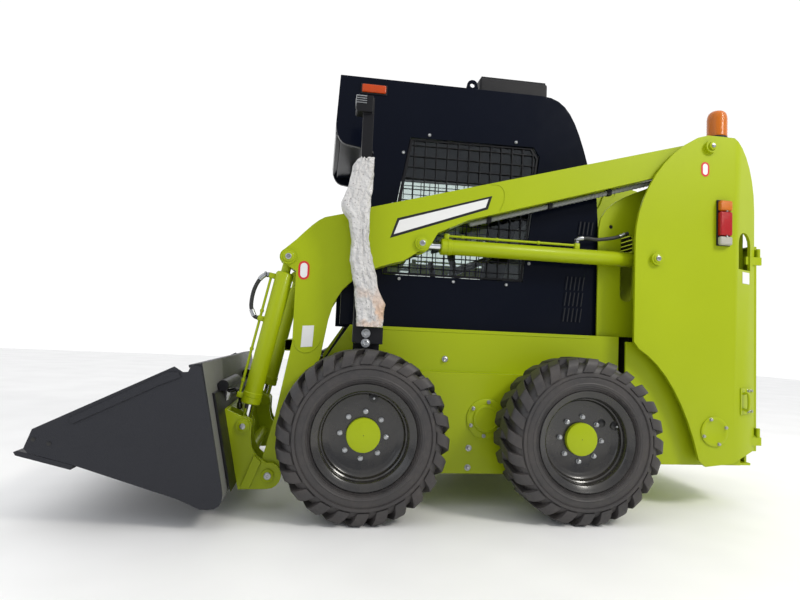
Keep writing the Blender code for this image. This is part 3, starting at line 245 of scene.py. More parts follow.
def tube(name: str, path: Sequence[Vector], radius: float, resolution: int = 4) -> Object:
    """A round hose or pipe along a path, as a mesh.

    Args:
        name: the new object's name.
        path: points along its centre line.
        radius: outer radius.
        resolution: faces round it, in quarters.

    Returns:
        The hose.
    """
    curve = bpy.data.curves.new(name, "CURVE")
    curve.dimensions = "3D"
    curve.bevel_depth = radius
    curve.bevel_resolution = resolution
    curve.use_fill_caps = True
    spline = curve.splines.new("POLY")
    spline.points.add(len(path) - 1)
    for target, point in zip(spline.points, path):
        target.co = (*point, 1)
    piece = bpy.data.objects.new(name, curve)
    bpy.context.scene.collection.objects.link(piece)
    activate(piece)
    bpy.ops.object.convert(target="MESH")
    piece = named(name)
    tidy_mesh(piece, 1e-6)
    activate(piece)
    bpy.ops.object.shade_smooth_by_angle(angle=radians(50))
    return piece


def smooth_path(points: Sequence[Vector], spacing: float) -> list[Vector]:
    """A smooth curve through the points.

    Args:
        points: points that the curve passes.
        spacing: greatest distance between the results.

    Returns:
        Points along the curve.
    """
    knots = [2 * points[0] - points[1], *points, 2 * points[-1] - points[-2]]
    path = [knots[1].copy()]
    for i in range(1, len(knots) - 2):
        a, b, c, d = knots[i - 1:i + 3]
        steps = max(1, ceil((c - b).length / spacing))
        for k in range(1, steps + 1):
            t = k / steps
            path.append(0.5 * (2 * b + (c - a) * t + (2 * a - 5 * b + 4 * c - d) * t ** 2
                               + (3 * b - a - 3 * c + d) * t ** 3))
    return path


def bezier(p0: Point, p1: Point, p2: Point, p3: Point, steps: int) -> list[Point]:
    """Points along a cubic curve in a plane."""
    points = []
    for i in range(steps + 1):
        t = i / steps
        a, b, c, d = (1 - t) ** 3, 3 * t * (1 - t) ** 2, 3 * t * t * (1 - t), t ** 3
        points.append(tuple(a * p0[k] + b * p1[k] + c * p2[k] + d * p3[k] for k in range(2)))
    return points


def arc(centre: Point, radius: float, start: float, end: float, steps: int) -> list[Point]:
    """Points on an arc, angles in degrees from +X towards +Z."""
    angles = [radians(start + (end - start) * i / steps) for i in range(steps + 1)]
    return [(centre[0] + radius * cos(a), centre[1] + radius * sin(a)) for a in angles]


def fuse(name: str, pieces: Iterable[Object]) -> Object:
    """Join several objects into one.

    Args:
        name: the joined object's name.
        pieces: the objects to join.

    Returns:
        The joined object.
    """
    pieces = list(pieces)
    rest_selection()
    for piece in pieces:
        piece.select_set(True)
    bpy.context.view_layer.objects.active = pieces[0]
    if len(pieces) > 1:
        bpy.ops.object.join()
    return named(name)


def copies(name: str, model: Object, places: Iterable[Matrix]) -> Object:
    """Repeat a modelled shape, each copy with its own mesh, and join the copies.

    Args:
        name: the joined object's name.
        model: the shape, modelled at the origin. It is used up.
        places: where each copy goes.

    Returns:
        The joined object.
    """
    made = []
    for matrix in places:
        twin = bpy.data.objects.new(name, model.data.copy())
        twin.data.transform(matrix)
        bpy.context.scene.collection.objects.link(twin)
        made.append(twin)
    bpy.data.objects.remove(model, do_unlink=True)
    return fuse(name, made)


def facing(point: Vector, direction: Vector, spin: float = 0.0) -> Matrix:
    """A matrix that puts a shape modelled along +Z at a point and turns it to a direction."""
    turn = Vector((0, 0, 1)).rotation_difference(direction).to_matrix().to_4x4()
    return Matrix.Translation(point) @ turn @ Matrix.Rotation(spin, 4, "Z")


def carve(piece: Object, cutters: Sequence[Object]) -> Object:
    """Cut shapes out of a piece with an applied Boolean.

    Args:
        piece: the object to cut.
        cutters: closed shapes, which are used up.

    Returns:
        The cut object.
    """
    cutter = fuse("cutter", cutters)
    activate(piece)
    boolean = piece.modifiers.new("cut", "BOOLEAN")
    boolean.operation, boolean.solver, boolean.object = "DIFFERENCE", "EXACT", cutter
    bpy.ops.object.modifier_apply(modifier=boolean.name)
    bpy.data.objects.remove(cutter, do_unlink=True)
    return piece


def skin(node: str, name: str, edge: float, segments: int = 2, angle: float = 30.0) -> Object:
    """A rounded copy of a solid of the frame, which stands for it.

    Args:
        node: the solid's name.
        name: the copy's name.
        edge: width of the rounding on its edges.
        segments: faces across each rounded edge.
        angle: edges that turn by more than this many degrees are rounded.

    Returns:
        The rounded copy.
    """
    source = bpy.data.objects[node]
    piece = source.copy()
    piece.data = source.data.copy()
    bpy.context.scene.collection.objects.link(piece)
    activate(piece)
    named(name)
    bpy.ops.object.mode_set(mode="EDIT")
    bpy.ops.mesh.select_all(action="SELECT")
    bpy.ops.mesh.remove_doubles(threshold=2e-5)
    bpy.ops.mesh.dissolve_limited(angle_limit=radians(1.5))
    bpy.ops.object.mode_set(mode="OBJECT")
    return soften(piece, edge, segments, angle)


def dress(piece: Object, finish: "Finish") -> Object:
    """Give a piece one material all over."""
    piece.data.materials.clear()
    piece.data.materials.append(finish.material())
    return piece


def settle_on(body: str, *pieces: Object) -> None:
    """Let pieces move with a body of the frame."""
    for piece in pieces:
        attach(piece, body)


class Side(Enum):
    """The two sides of the loader, with the sign of their Y."""

    LEFT = -1
    RIGHT = 1

    @property
    def tag(self) -> str:
        """The letter that ends this side's names."""
        return "l" if self is Side.LEFT else "r"

    def out(self, distance: float) -> float:
        """Y at a distance from the middle plane on this side."""
        return self.value * distance

    def between(self, a: float, b: float) -> tuple[float, float]:
        """Two distances from the middle plane as low and high Y."""
        return min(self.out(a), self.out(b)), max(self.out(a), self.out(b))


# ------------------------------------------------------------------ finishes
def new_group(name: str, inputs: dict[str, float | None], outputs: dict[str, str]) -> NodeTree:
    """An empty shader node group with named sockets.

    Args:
        name: the group's name.
        inputs: socket name to its default, or None for a vector.
        outputs: socket name to socket type.

    Returns:
        The group's tree, with its input and output nodes.
    """
    tree = bpy.data.node_groups.new(name, "ShaderNodeTree")
    for label, default in inputs.items():
        kind = "NodeSocketVector" if default is None else "NodeSocketFloat"
        socket = tree.interface.new_socket(name=label, in_out="INPUT", socket_type=kind)
        if default is not None:
            socket.default_value = default
    for label, kind in outputs.items():
        tree.interface.new_socket(name=label, in_out="OUTPUT", socket_type=kind)
    tree.nodes.new("NodeGroupInput").name = "in"
    tree.nodes.new("NodeGroupOutput").name = "out"
    return tree


class Wiring:
    """Short calls for adding and linking nodes in one tree."""

    def __init__(self, tree: NodeTree) -> None:
        """Keep the tree that the nodes go in."""
        self.tree = tree

    def add(self, kind: str, **values: object) -> bpy.types.Node:
        """Add a node, set its properties and inputs, and link what is a socket.

        Args:
            kind: the node's type without its ShaderNode prefix.
            values: properties and, with spaces as underscores, inputs.

        Returns:
            The new node.
        """
        node = self.tree.nodes.new("ShaderNode" + kind)
        for key, value in values.items():
            label = key.replace("_", " ")
            if hasattr(node, key) and not key[0].isupper():
                setattr(node, key, value)
                continue
            numbered = label[0] == "i" and label[1:].isdigit()
            socket = node.inputs[int(label[1:]) if numbered else label]
            self.feed(socket, value)
        return node

    def feed(self, socket: bpy.types.NodeSocket, value: object) -> None:
        """Link a socket to an output, or set its value."""
        if isinstance(value, bpy.types.NodeSocket):
            self.tree.links.new(value, socket)
        else:
            socket.default_value = value

    def maths(self, operation: str, a: object, b: object = 0.0, clamp: bool = False) -> bpy.types.NodeSocket:
        """A Math node's result."""
        return self.add("Math", operation=operation, use_clamp=clamp, i0=a, i1=b).outputs[0]

    def mix(self, factor: object, a: object, b: object) -> bpy.types.NodeSocket:
        """A blend of two colours."""
        node = self.add("Mix", data_type="RGBA")
        self.feed(node.inputs[0], factor)
        self.feed(node.inputs[6], a)
        self.feed(node.inputs[7], b)
        return node.outputs[2]

    def ramp(self, factor: object, low: float, high: float) -> bpy.types.NodeSocket:
        """A value stretched from low..high to 0..1."""
        node = self.add("MapRange", Value=factor)
        node.inputs["From Min"].default_value = low
        node.inputs["From Max"].default_value = high
        return node.outputs[0]

    def cloud(self, vector: object, scale: float, detail: float = 3.0,
              rough: float = 0.55) -> bpy.types.NodeSocket:
        """A noise value."""
        return self.add("TexNoise", Vector=vector, Scale=scale, Detail=detail, Roughness=rough).outputs["Fac"]


def grime_group() -> NodeTree:
    """Dust that lies lower down and in clouds, and fine flecks.

    Returns:
        The group, built once.
    """
    found = bpy.data.node_groups.get("dust and flecks")
    if found:
        return found
    tree = new_group("dust and flecks", {"Vector": None, "Top": 1.0, "Amount": 0.5, "Fleck": 0.3},
                     {"Dust": "NodeSocketFloat", "Flecks": "NodeSocketFloat", "Drift": "NodeSocketFloat"})
    w = Wiring(tree)
    source, sink = tree.nodes["in"].outputs, tree.nodes["out"].inputs
    height = w.add("SeparateXYZ", Vector=source["Vector"]).outputs["Z"]
    fall = w.maths("SUBTRACT", 1.0, w.maths("DIVIDE", height, source["Top"]), clamp=True)
    clouds = w.ramp(w.cloud(source["Vector"], 6.0, 6.0, 0.65), 0.42, 0.78)
    dust = w.maths("MULTIPLY", w.maths("MULTIPLY", clouds, w.maths("ADD", fall, 0.12)), source["Amount"],
                   clamp=True)
    w.feed(sink["Dust"], dust)
    dots = w.add("TexVoronoi", Vector=source["Vector"], Scale=260.0).outputs["Distance"]
    spots = w.maths("LESS_THAN", dots, 0.16)
    patch = w.ramp(w.cloud(source["Vector"], 9.0), 0.48, 0.62)
    w.feed(sink["Flecks"], w.maths("MULTIPLY", w.maths("MULTIPLY", spots, patch), source["Fleck"],
                                   clamp=True))
    w.feed(sink["Drift"], w.cloud(source["Vector"], 1.6, 2.0))
    return tree


@dataclass(frozen=True)
class Finish:
    """A painted or moulded surface.

    Attributes:
        name: material name, in a maker's plain words.
        colour: linear base colour.
        rough: roughness of the clean surface.
        metal: metallic amount.
        coat: weight of the clear coat.
        grain: depth of the fine bump.
        grain_scale: how fine the bump is.
        dust: how dusty it is.
        dust_colour: colour of the dust.
        dust_top: height at which no more dust lies.
        fleck: strength of the light flecks.
        shine: strength of the reflection.
    """

    name: str
    colour: tuple[float, float, float]
    rough: float = 0.35
    metal: float = 0.0
    coat: float = 0.0
    grain: float = 0.02
    grain_scale: float = 420.0
    dust: float = 0.25
    dust_colour: tuple[float, float, float] = (0.30, 0.26, 0.20)
    dust_top: float = 1.0
    fleck: float = 0.0
    shine: float = 0.5

    def material(self) -> Material:
        """The finish as a material, made once.

        Returns:
            The material.
        """
        found = bpy.data.materials.get(self.name)
        if found:
            return found
        made = bpy.data.materials.new(self.name)
        made.use_nodes = True
        made.diffuse_color = (*self.colour, 1)
        self.wire(Wiring(made.node_tree), made.node_tree.nodes["Principled BSDF"])
        return made

    def wire(self, w: Wiring, shader: bpy.types.Node) -> None:
        """Wire colour, roughness and relief to the shader."""
        where = w.add("TexCoord").outputs["Object"]
        grime = w.tree.nodes.new("ShaderNodeGroup")
        grime.node_tree = grime_group()
        for label, value in (("Vector", where), ("Top", self.dust_top), ("Amount", self.dust),
                             ("Fleck", self.fleck)):
            w.feed(grime.inputs[label], value)
        deep = tuple(c * 0.90 for c in self.colour)
        light = tuple(min(c * 1.08 + 0.002, 1) for c in self.colour)
        colour = w.mix(grime.outputs["Drift"], (*deep, 1), (*light, 1))
        colour = w.mix(grime.outputs["Flecks"], colour, (0.30, 0.30, 0.32, 1))
        colour = w.mix(grime.outputs["Dust"], colour, (*self.dust_colour, 1))
        w.feed(shader.inputs["Base Color"], colour)
        smudge = w.maths("MULTIPLY", w.cloud(where, 14.0, 4.0), 0.12)
        rough = w.maths("ADD", w.maths("ADD", self.rough - 0.06, smudge),
                        w.maths("MULTIPLY", grime.outputs["Dust"], 0.5), clamp=True)
        w.feed(shader.inputs["Roughness"], rough)
        shader.inputs["Metallic"].default_value = self.metal
        shader.inputs["Coat Weight"].default_value = self.coat
        shader.inputs["Specular IOR Level"].default_value = self.shine
        shader.inputs["Coat Roughness"].default_value = 0.06
        relief = w.add("Bump", Strength=self.grain, Distance=0.004,
                       Height=w.cloud(where, self.grain_scale, 2.0))
        w.feed(shader.inputs["Normal"], relief.outputs["Normal"])


LIME = Finish("lime paint", (0.355, 0.440, 0.002), rough=0.42, coat=0.08, grain=0.03, dust=0.04, dust_top=0.7,
              shine=0.22)
NAVY = Finish("near-black navy cab paint", (0.0022, 0.0036, 0.0095), rough=0.20, coat=0.04, dust=0.004,
              dust_top=2.4, shine=0.09)
GLOSS_BLACK = Finish("gloss black paint", (0.008, 0.008, 0.009), rough=0.20, coat=0.3, dust=0.05,
                     dust_top=0.9)
RIM_BLACK = Finish("dusty black wheel paint", (0.014, 0.013, 0.013), rough=0.24, coat=0.3, dust=0.10,
                   dust_top=1.0)
SATIN_BLACK = Finish("satin black paint", (0.006, 0.006, 0.008), rough=0.42, grain=0.05, dust=0.04,
                     dust_top=1.0,
                     shine=0.25)
PLASTIC = Finish("black moulded plastic", (0.016, 0.016, 0.018), rough=0.50, grain=0.20, grain_scale=900,
                 dust=0.03,
                 shine=0.2)
BUCKET_BACK = Finish("scuffed grey primer", (0.155, 0.155, 0.150), rough=0.55, grain=0.30, dust=0.10)
BUCKET = Finish("bucket grey paint", (0.022, 0.023, 0.029), rough=0.46, grain=0.55, grain_scale=300, dust=0.0,
                dust_colour=(0.10, 0.09, 0.085), fleck=0.05, shine=0.28)
STEEL = Finish("zinc-plated steel", (0.42, 0.43, 0.44), rough=0.30, metal=1.0, grain=0.05, dust=0.10)
CHROME = Finish("polished chrome rod", (0.72, 0.74, 0.76), rough=0.12, metal=1.0, grain=0.0, dust=0.03)
IRON = Finish("engine iron", (0.045, 0.045, 0.047), rough=0.60, metal=0.4, grain=0.3, grain_scale=140,
              dust=0.4)
HOSE = Finish("hydraulic hose rubber", (0.014, 0.015, 0.015), rough=0.48, grain=0.3, grain_scale=700,
              dust=0.15)
SLEEVE = Finish("grey spiral hose sleeve", (0.24, 0.25, 0.24), rough=0.45, grain=0.2, dust=0.3)
WHITE = Finish("white label", (0.80, 0.80, 0.79), rough=0.35, dust=0.08, dust_top=3)
RED = Finish("red label", (0.62, 0.02, 0.02), rough=0.35, dust=0.08, dust_top=3)
# Black decal print, and the same black as painted shade in holes and slits.
BLACK_DECAL_AND_HOLE_SHADE = Finish("black decal film and painted hole shade", (0.008, 0.008, 0.008), rough=0.3, dust=0.05)
FOAM = Finish("black foam grip", (0.012, 0.012, 0.013), rough=0.8, grain=0.4, grain_scale=600, dust=0.05)


@dataclass(frozen=True)
class Rubber(Finish):
    """Tyre rubber with a brownish bloom and fine moulding marks."""

    def wire(self, w: Wiring, shader: bpy.types.Node) -> None:
        """Wire the rubber's bloom, dust and moulding marks."""
        where = w.add("TexCoord").outputs["Object"]
        bloom = w.ramp(w.cloud(where, 5.0, 5.0, 0.6), 0.35, 0.75)
        colour = w.mix(bloom, (*self.colour, 1), (0.054, 0.047, 0.045, 1))
        dusty = w.maths("MULTIPLY", w.ramp(w.cloud(where, 34.0, 6.0, 0.7), 0.45, 0.80), self.dust, clamp=True)
        w.feed(shader.inputs["Base Color"], w.mix(dusty, colour, (*self.dust_colour, 1)))
        w.feed(shader.inputs["Roughness"], w.maths("ADD", w.maths("MULTIPLY", bloom, 0.16), self.rough))
        height = w.maths("ADD", w.cloud(where, 260.0, 3.0), w.maths("MULTIPLY", w.cloud(where, 30.0, 3.0),
                                                                    1.5))
        relief = w.add("Bump", Strength=0.22, Distance=0.002, Height=height)
        w.feed(shader.inputs["Normal"], relief.outputs["Normal"])


TYRE = Rubber("tyre rubber", (0.032, 0.030, 0.031), rough=0.45, dust=0.22, dust_colour=(0.120, 0.104, 0.095))


@dataclass(frozen=True)
class Film(Finish):
    """White packing film with creases, painted crease shade and highlight, small dark specks and a beige
    patch.
    """

    def wire(self, w: Wiring, shader: bpy.types.Node) -> None:
        """Wire the film's painted crease shade and highlight, specks, patch, creases and soft shine."""
        where = w.add("TexCoord").outputs["Object"]
        dots = w.add("TexVoronoi", Vector=where, Scale=62.0, Randomness=0.9)
        speck = w.maths("LESS_THAN", dots.outputs["Distance"], 0.21)
        streak = w.ramp(w.cloud(where, 150.0, 2.0), 0.47, 0.53)
        speck = w.maths("MULTIPLY", w.maths("MULTIPLY", speck, streak), 0.62)
        # Grey to white by a cloud: painted shade and highlight of the creases on the white film.
        colour = w.mix(w.cloud(where, 8.0), (0.50, 0.485, 0.475, 1), (0.82, 0.81, 0.80, 1))
        colour = w.mix(speck, colour, (0.10, 0.055, 0.06, 1))
        low = w.maths("SUBTRACT", 1.0, w.ramp(w.add("SeparateXYZ", Vector=where).outputs["Z"], 0.95, 1.09))
        patch = w.maths("MULTIPLY", w.ramp(w.cloud(where, 7.0), 0.46, 0.56), low, clamp=True)
        colour = w.mix(patch, colour, (0.72, 0.50, 0.36, 1))
        w.feed(shader.inputs["Base Color"], colour)
        shader.inputs["Roughness"].default_value = self.rough
        shader.inputs["Coat Weight"].default_value = 0.25
        creases = w.add("TexVoronoi", Vector=where, Scale=26.0,
                        feature="DISTANCE_TO_EDGE").outputs["Distance"]
        relief = w.add("Bump", Strength=1.0, Distance=0.020,
                       Height=w.maths("ADD", creases, w.cloud(where, 40.0, 4.0)))
        w.feed(shader.inputs["Normal"], relief.outputs["Normal"])


FILM = Film("white packing film", (0.82, 0.82, 0.80), rough=0.38)


@dataclass(frozen=True)
class Vinyl(Finish):
    """Seat vinyl with a leather grain."""

    def wire(self, w: Wiring, shader: bpy.types.Node) -> None:
        """Wire the vinyl's grain and soft sheen."""
        where = w.add("TexCoord").outputs["Object"]
        colour = w.mix(w.cloud(where, 12.0, 4.0), (*self.colour, 1), (0.034, 0.034, 0.036, 1))
        w.feed(shader.inputs["Base Color"], colour)
        shader.inputs["Roughness"].default_value = self.rough
        cells = w.add("TexVoronoi", Vector=where, Scale=520.0, feature="DISTANCE_TO_EDGE").outputs["Distance"]
        relief = w.add("Bump", Strength=0.35, Distance=0.001, Height=w.ramp(cells, 0.0, 0.2))
        w.feed(shader.inputs["Normal"], relief.outputs["Normal"])


VINYL = Vinyl("black seat vinyl", (0.020, 0.020, 0.022), rough=0.50)


@dataclass(frozen=True)
class Lens(Finish):
    """A moulded lamp lens with ribs inside."""

    def wire(self, w: Wiring, shader: bpy.types.Node) -> None:
        """Wire the lens's ribbed look and its shine."""
        where = w.add("TexCoord").outputs["Object"]
        ribs = w.add("TexWave", Vector=where, Scale=60.0, bands_direction="Z").outputs["Fac"]
        dark = tuple(c * 0.35 for c in self.colour)
        w.feed(shader.inputs["Base Color"], w.mix(ribs, (*dark, 1), (*self.colour, 1)))
        shader.inputs["Roughness"].default_value = 0.18
        shader.inputs["Coat Weight"].default_value = 0.15
        shader.inputs["Specular IOR Level"].default_value = 0.35
        relief = w.add("Bump", Strength=0.25, Distance=0.002, Height=ribs)
        w.feed(shader.inputs["Normal"], relief.outputs["Normal"])


AMBER = Lens("amber lamp lens", (0.80, 0.20, 0.004))
RED_LENS = Lens("red lamp lens", (0.55, 0.004, 0.010))
ORANGE = Lens("orange marker lens", (0.72, 0.075, 0.003))
CLEAR_LENS = Lens("clear ribbed lamp lens", (0.62, 0.60, 0.52))


@dataclass(frozen=True)
class Glass(Finish):
    """Window glass."""

    def wire(self, w: Wiring, shader: bpy.types.Node) -> None:
        """Set plain glass and tint it a little by a cloud."""
        where = w.add("TexCoord").outputs["Object"]
        w.feed(shader.inputs["Base Color"], w.mix(w.cloud(where, 2.0), (0.70, 0.78, 0.76, 1),
                                                  (0.80, 0.86, 0.84, 1)))
        shader.inputs["Roughness"].default_value = 0.03
        shader.inputs["Transmission Weight"].default_value = 1.0
        shader.inputs["Metallic"].default_value = 0.0


GLASS = Glass("window glass", (0.78, 0.84, 0.82))


# ------------------------------------------------------------------ small parts
def prism(name: str, points: Sequence[Sequence[float]], shift: Sequence[float], edge: float = 0.0) -> Object:
    """A flat outline in space pushed along a vector.

    Args:
        name: the new object's name.
        points: three coordinates for each corner.
        shift: the vector of the push.
        edge: width of the rounding, none if zero.

    Returns:
        The prism.
    """
    piece = outline_loop(name, points, filled=True)
    bpy.ops.object.mode_set(mode="EDIT")
    bpy.ops.mesh.select_all(action="SELECT")
    bpy.ops.mesh.extrude_region_move(TRANSFORM_OT_translate={"value": tuple(shift)})
    tidy_mesh(piece)
    return soften(piece, edge, 1) if edge else piece


@dataclass(frozen=True)
class HexBolt:
    """A hexagon bolt head on a washer, modelled along +Z."""

    across: float = 0.024
    height: float = 0.010
    washer: float = 0.017

    def model(self) -> Object:
        """The bolt at the origin.

        Returns:
            The joined head and washer.
        """
        rest_selection()
        bpy.ops.mesh.primitive_cylinder_add(vertices=6, radius=self.across * 0.577, depth=self.height,
                                            location=(0, 0, 0.003 + self.height / 2))
        head = settle(named("head"))
        bpy.ops.object.mode_set(mode="EDIT")
        bpy.ops.mesh.select_all(action="DESELECT")
        mesh = bmesh.from_edit_mesh(head.data)
        for face in mesh.faces:
            face.select = face.normal.z > 0.9
        bmesh.update_edit_mesh(head.data)
        bpy.ops.mesh.inset(thickness=self.across * 0.10, depth=self.across * 0.05)
        bpy.ops.mesh.inset(thickness=self.across * 0.14, depth=-self.across * 0.05)
        bpy.ops.object.mode_set(mode="OBJECT")
        ring = turned("washer", [(0, 0), (self.washer, 0), (self.washer, 0.002), (self.washer - 0.001, 0.003),
                                 (0, 0.003)],
                      Vector((0, 0, 0)), Vector((0, 0, 1)), 16)
        return fuse("bolt", [head, ring])


def bolts(name: str, spots: Iterable[tuple[Vector, Vector]], finish: Finish,
          bolt: HexBolt = HexBolt()) -> Object:
    """Bolts of one size at several places.

    Args:
        name: the joined object's name.
        spots: each bolt's seat and the way it faces.
        finish: their finish.
        bolt: the bolt's sizes.

    Returns:
        The joined bolts.
    """
    model = bolt.model()
    places = [facing(point, direction, i * 0.7) for i, (point, direction) in enumerate(spots)]
    return dress(copies(name, model, places), finish)


def pin_head(name: str, centre: Point, side: Side, face: float, radius: float, proud: float) -> Object:
    """A pin's end with its washer, collar and grease nipple.

    Args:
        name: the new object's name.
        centre: the pin's axis as (x, z).
        side: the side it faces.
        face: distance of its seat from the middle plane.
        radius: radius of the collar.
        proud: how far the collar stands out.

    Returns:
        The steel end.
    """
    start, out = place(centre[0], side.out(face), centre[1]), Vector((0, side.value, 0))
    collar = [(0, 0), (radius, 0), (radius, proud * 0.40), (radius - 0.002, proud * 0.55), (0, proud * 0.55)]
    core = radius * 0.56
    steel = [(0, proud * 0.50), (core, proud * 0.50), (core, proud * 0.90), (core - 0.0015, proud),
             (core * 0.45, proud),
             (core * 0.38, proud * 0.72), (0.003, proud * 0.72), (0.003, proud + 0.003), (0, proud + 0.004)]
    return fuse(name, [dress(turned("collar", collar, start, out, 28), LIME),
                       dress(turned("end", steel, start, out, 28), STEEL)])


# ------------------------------------------------------------------ wheels
@dataclass
class Wheel:
    """A pneumatic tyre on a dished steel rim."""

    tag: str
    x: float
    side: Side
    valves: tuple[Point, ...]
    radius: float = 0.3865
    width: float = 0.264
    lugs: int = 24
    outer: float = 0.840

    def frame(self) -> Matrix:
        """Turns a shape modelled along +Z, from the outer face inwards, to the wheel's place."""
        return facing(place(self.x, self.side.out(self.outer), self.radius), Vector((0, -self.side.value, 0)))

    def carcass(self) -> Object:
        """The tyre without its tread bars.

        Returns:
            The turned carcass.
        """
        half = [(0.2100, 0.0290), (0.2200, 0.0262), (0.2368, 0.0198), (0.2390, 0.0150), (0.2420, 0.0165),
                (0.2440, 0.0122),
                (0.2475, 0.0140), (0.2500, 0.0090), (0.2540, 0.0102), (0.2570, 0.0062), (0.2640, 0.0052),
                (0.2665, 0.0032),
                (0.2700, 0.0032), (0.2725, 0.0050), (0.2860, 0.0044), (0.2960, 0.0050), (0.3000, 0.0068),
                (0.3030, 0.0010),
                (0.3065, 0.0002), (0.3145, 0.0002), (0.3175, 0.0030), (0.3190, 0.0085), (0.3330, 0.0120),
                (0.3460, 0.0210),
                (0.3560, 0.0380), (0.3600, 0.0620), (0.3620, 0.1000)]
        inner = [(0.3440, 0.050), (0.3000, 0.0200), (0.2100, 0.0500)]
        profile = half + [(r, self.width - t) for r, t in half[::-1]]
        profile += [(r, self.width - t) for r, t in inner[::-1]] + inner
        tyre = turned("carcass", profile, Vector((0, 0, 0)), Vector((0, 0, 1)), 96)
        return tyre

    def lug(self, far: bool) -> Object:
        """One tread bar, from a shoulder to past the middle of the tread.

        Args:
            far: whether it belongs to the inner shoulder.

        Returns:
            The bar, modelled at the top of a wheel whose axis is Z.
        """
        top = self.radius - 0.0003
        section = [(0.3215, 0.0050), (0.3330, 0.0012), (0.3560, 0.0028), (0.3740, 0.0120), (top, 0.0300),
                   (top, 0.0900),
                   (top, 0.1450), (0.3600, 0.1520), (0.3550, 0.0700), (0.3340, 0.0260)]
        half_width, skew = 0.0300, 0.42
        points = [(r, -half_width, t) for r, t in section]
        bar = prism("bar", points, (0, 2 * half_width, 0))
        for vertex in bar.data.vertices:
            lean = 1.12 - 0.24 * max(0.0, (vertex.co.x - 0.330) / 0.0565)
            slant = 0.55 * (vertex.co.x - 0.345)
            turn = (vertex.co.y * lean + slant + skew * max(0.0, vertex.co.z - 0.022)) / self.radius
            vertex.co.x, vertex.co.y = vertex.co.x * cos(turn), vertex.co.x * sin(turn)
            if far:
                vertex.co.z = self.width - vertex.co.z
        tidy_mesh(bar)
        return soften(bar, 0.0028, 1)

    def tyre(self) -> Object:
        """The whole tyre with both rows of tread bars."""
        step = 2 * pi / self.lugs
        near = copies("near bars", self.lug(False), [Matrix.Rotation(i * step, 4,
                                                                     "Z") for i in range(self.lugs)])
        far = copies("far bars", self.lug(True), [Matrix.Rotation((i + 0.5) * step, 4,
                                                                  "Z") for i in range(self.lugs)])
        tyre = fuse("tread_tyre_" + self.tag, [self.carcass(), near, far])
        tyre.data.transform(self.frame())
        activate(tyre)
        bpy.ops.object.shade_smooth_by_angle(angle=radians(35))
        return dress(tyre, TYRE)

    def rim(self) -> Object:
        """The rim and its dished disc."""
        profile = [(0.0720, 0.0975), (0.1530, 0.0970), (0.1610, 0.0940), (0.1700, 0.0890), (0.1810, 0.0860),
                   (0.1880, 0.0780),
                   (0.1900, 0.0620), (0.1955, 0.0580), (0.1990, 0.0300), (0.2060, 0.0230), (0.2220, 0.0180),
                   (0.2290, 0.0130),
                   (0.2330, 0.0115), (0.2348, 0.0130), (0.2352, 0.0165), (0.2330, 0.0190), (0.2240, 0.0225),
                   (0.2094, 0.0275),
                   (0.2094, 0.0480), (0.1960, 0.0900), (0.1960, 0.1600), (0.2094, 0.2380), (0.2352, 0.2470),
                   (0.2340, 0.2530),
                   (0.2060, 0.2420), (0.1900, 0.1660), (0.1900, 0.1080), (0.0800, 0.1080), (0.0800, 0.1745),
                   (0.0720, 0.1745)]
        rim = turned("dished_rim_" + self.tag, profile, Vector((0, 0, 0)), Vector((0, 0, 1)), 96)
        rim.data.transform(self.frame())
        return dress(rim, RIM_BLACK)

    def hub(self) -> list[Object]:
        """The painted cap, the wheel bolts, the valve, and black discs as painted shade in the rim's holes.

        Returns:
            The pieces.
        """
        place_all = self.frame()
        cap = turned("hub_cap_" + self.tag, [(0, 0.0735), (0.0700, 0.0742), (0.0765, 0.0760),
                                             (0.0778, 0.0800), (0.0778, 0.0985),
                                             (0, 0.0985)], Vector((0, 0, 0)), Vector((0, 0, 1)), 64)
        cap.data.transform(place_all)
        dot = turned("cap_dot_" + self.tag, [(0, 0.0725), (0.0022, 0.0730), (0.0022, 0.0745), (0, 0.0745)],
                     Vector((0, 0, 0)), Vector((0, 0, 1)), 12)
        dot.data.transform(place_all)
        out = place_all.to_3x3() @ Vector((0, 0, -1))
        spots = []
        for i in range(8):
            a = 2 * pi * i / 8 + 0.07
            spots.append((place_all @ Vector((0.105 * cos(a), 0.105 * sin(a), 0.0968)), out))
        nuts = bolts("wheel_bolts_" + self.tag, spots, STEEL, HexBolt(0.0170, 0.012, 0.0125))
        hole_shade_discs, stems = [], []
        for reach, turn in self.valves:
            middle = Vector((reach * cos(turn), reach * sin(turn), 0.0))
            # The rim's holes are not cut: a black disc in each is painted shade.
            face = 0.0962 if reach < 0.150 else 0.0800
            hole_shade_discs.append(turned("hole_shade_disc", [(0, face), (0.0190, face), (0.0205, face + 0.001),
                                             (0.0205, 0.0975), (0, 0.0975)],
                                  middle, Vector((0, 0, 1)), 24))
            if reach > 0.150:
                stems.append(rod("stem", middle + Vector((0, 0, 0.084)), middle + Vector((0, 0, 0.060)),
                                 0.0050))
        hole_shade = fuse("valve_hole_shade_" + self.tag, hole_shade_discs)
        stem = fuse("valve_stem_" + self.tag, stems)
        hole_shade.data.transform(place_all)
        stem.data.transform(place_all)
        return [dress(cap, LIME), dress(dot, BLACK_DECAL_AND_HOLE_SHADE), nuts, dress(hole_shade, BLACK_DECAL_AND_HOLE_SHADE),
                dress(stem, STEEL)]

    def build(self) -> None:
        """Model the wheel and let it turn with its body."""
        tyre, rim, rest = self.tyre(), self.rim(), self.hub()
        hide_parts("tyre_" + self.tag)
        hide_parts("rim_" + self.tag)
        settle_on("wheel_" + self.tag, tyre, rim, *rest)


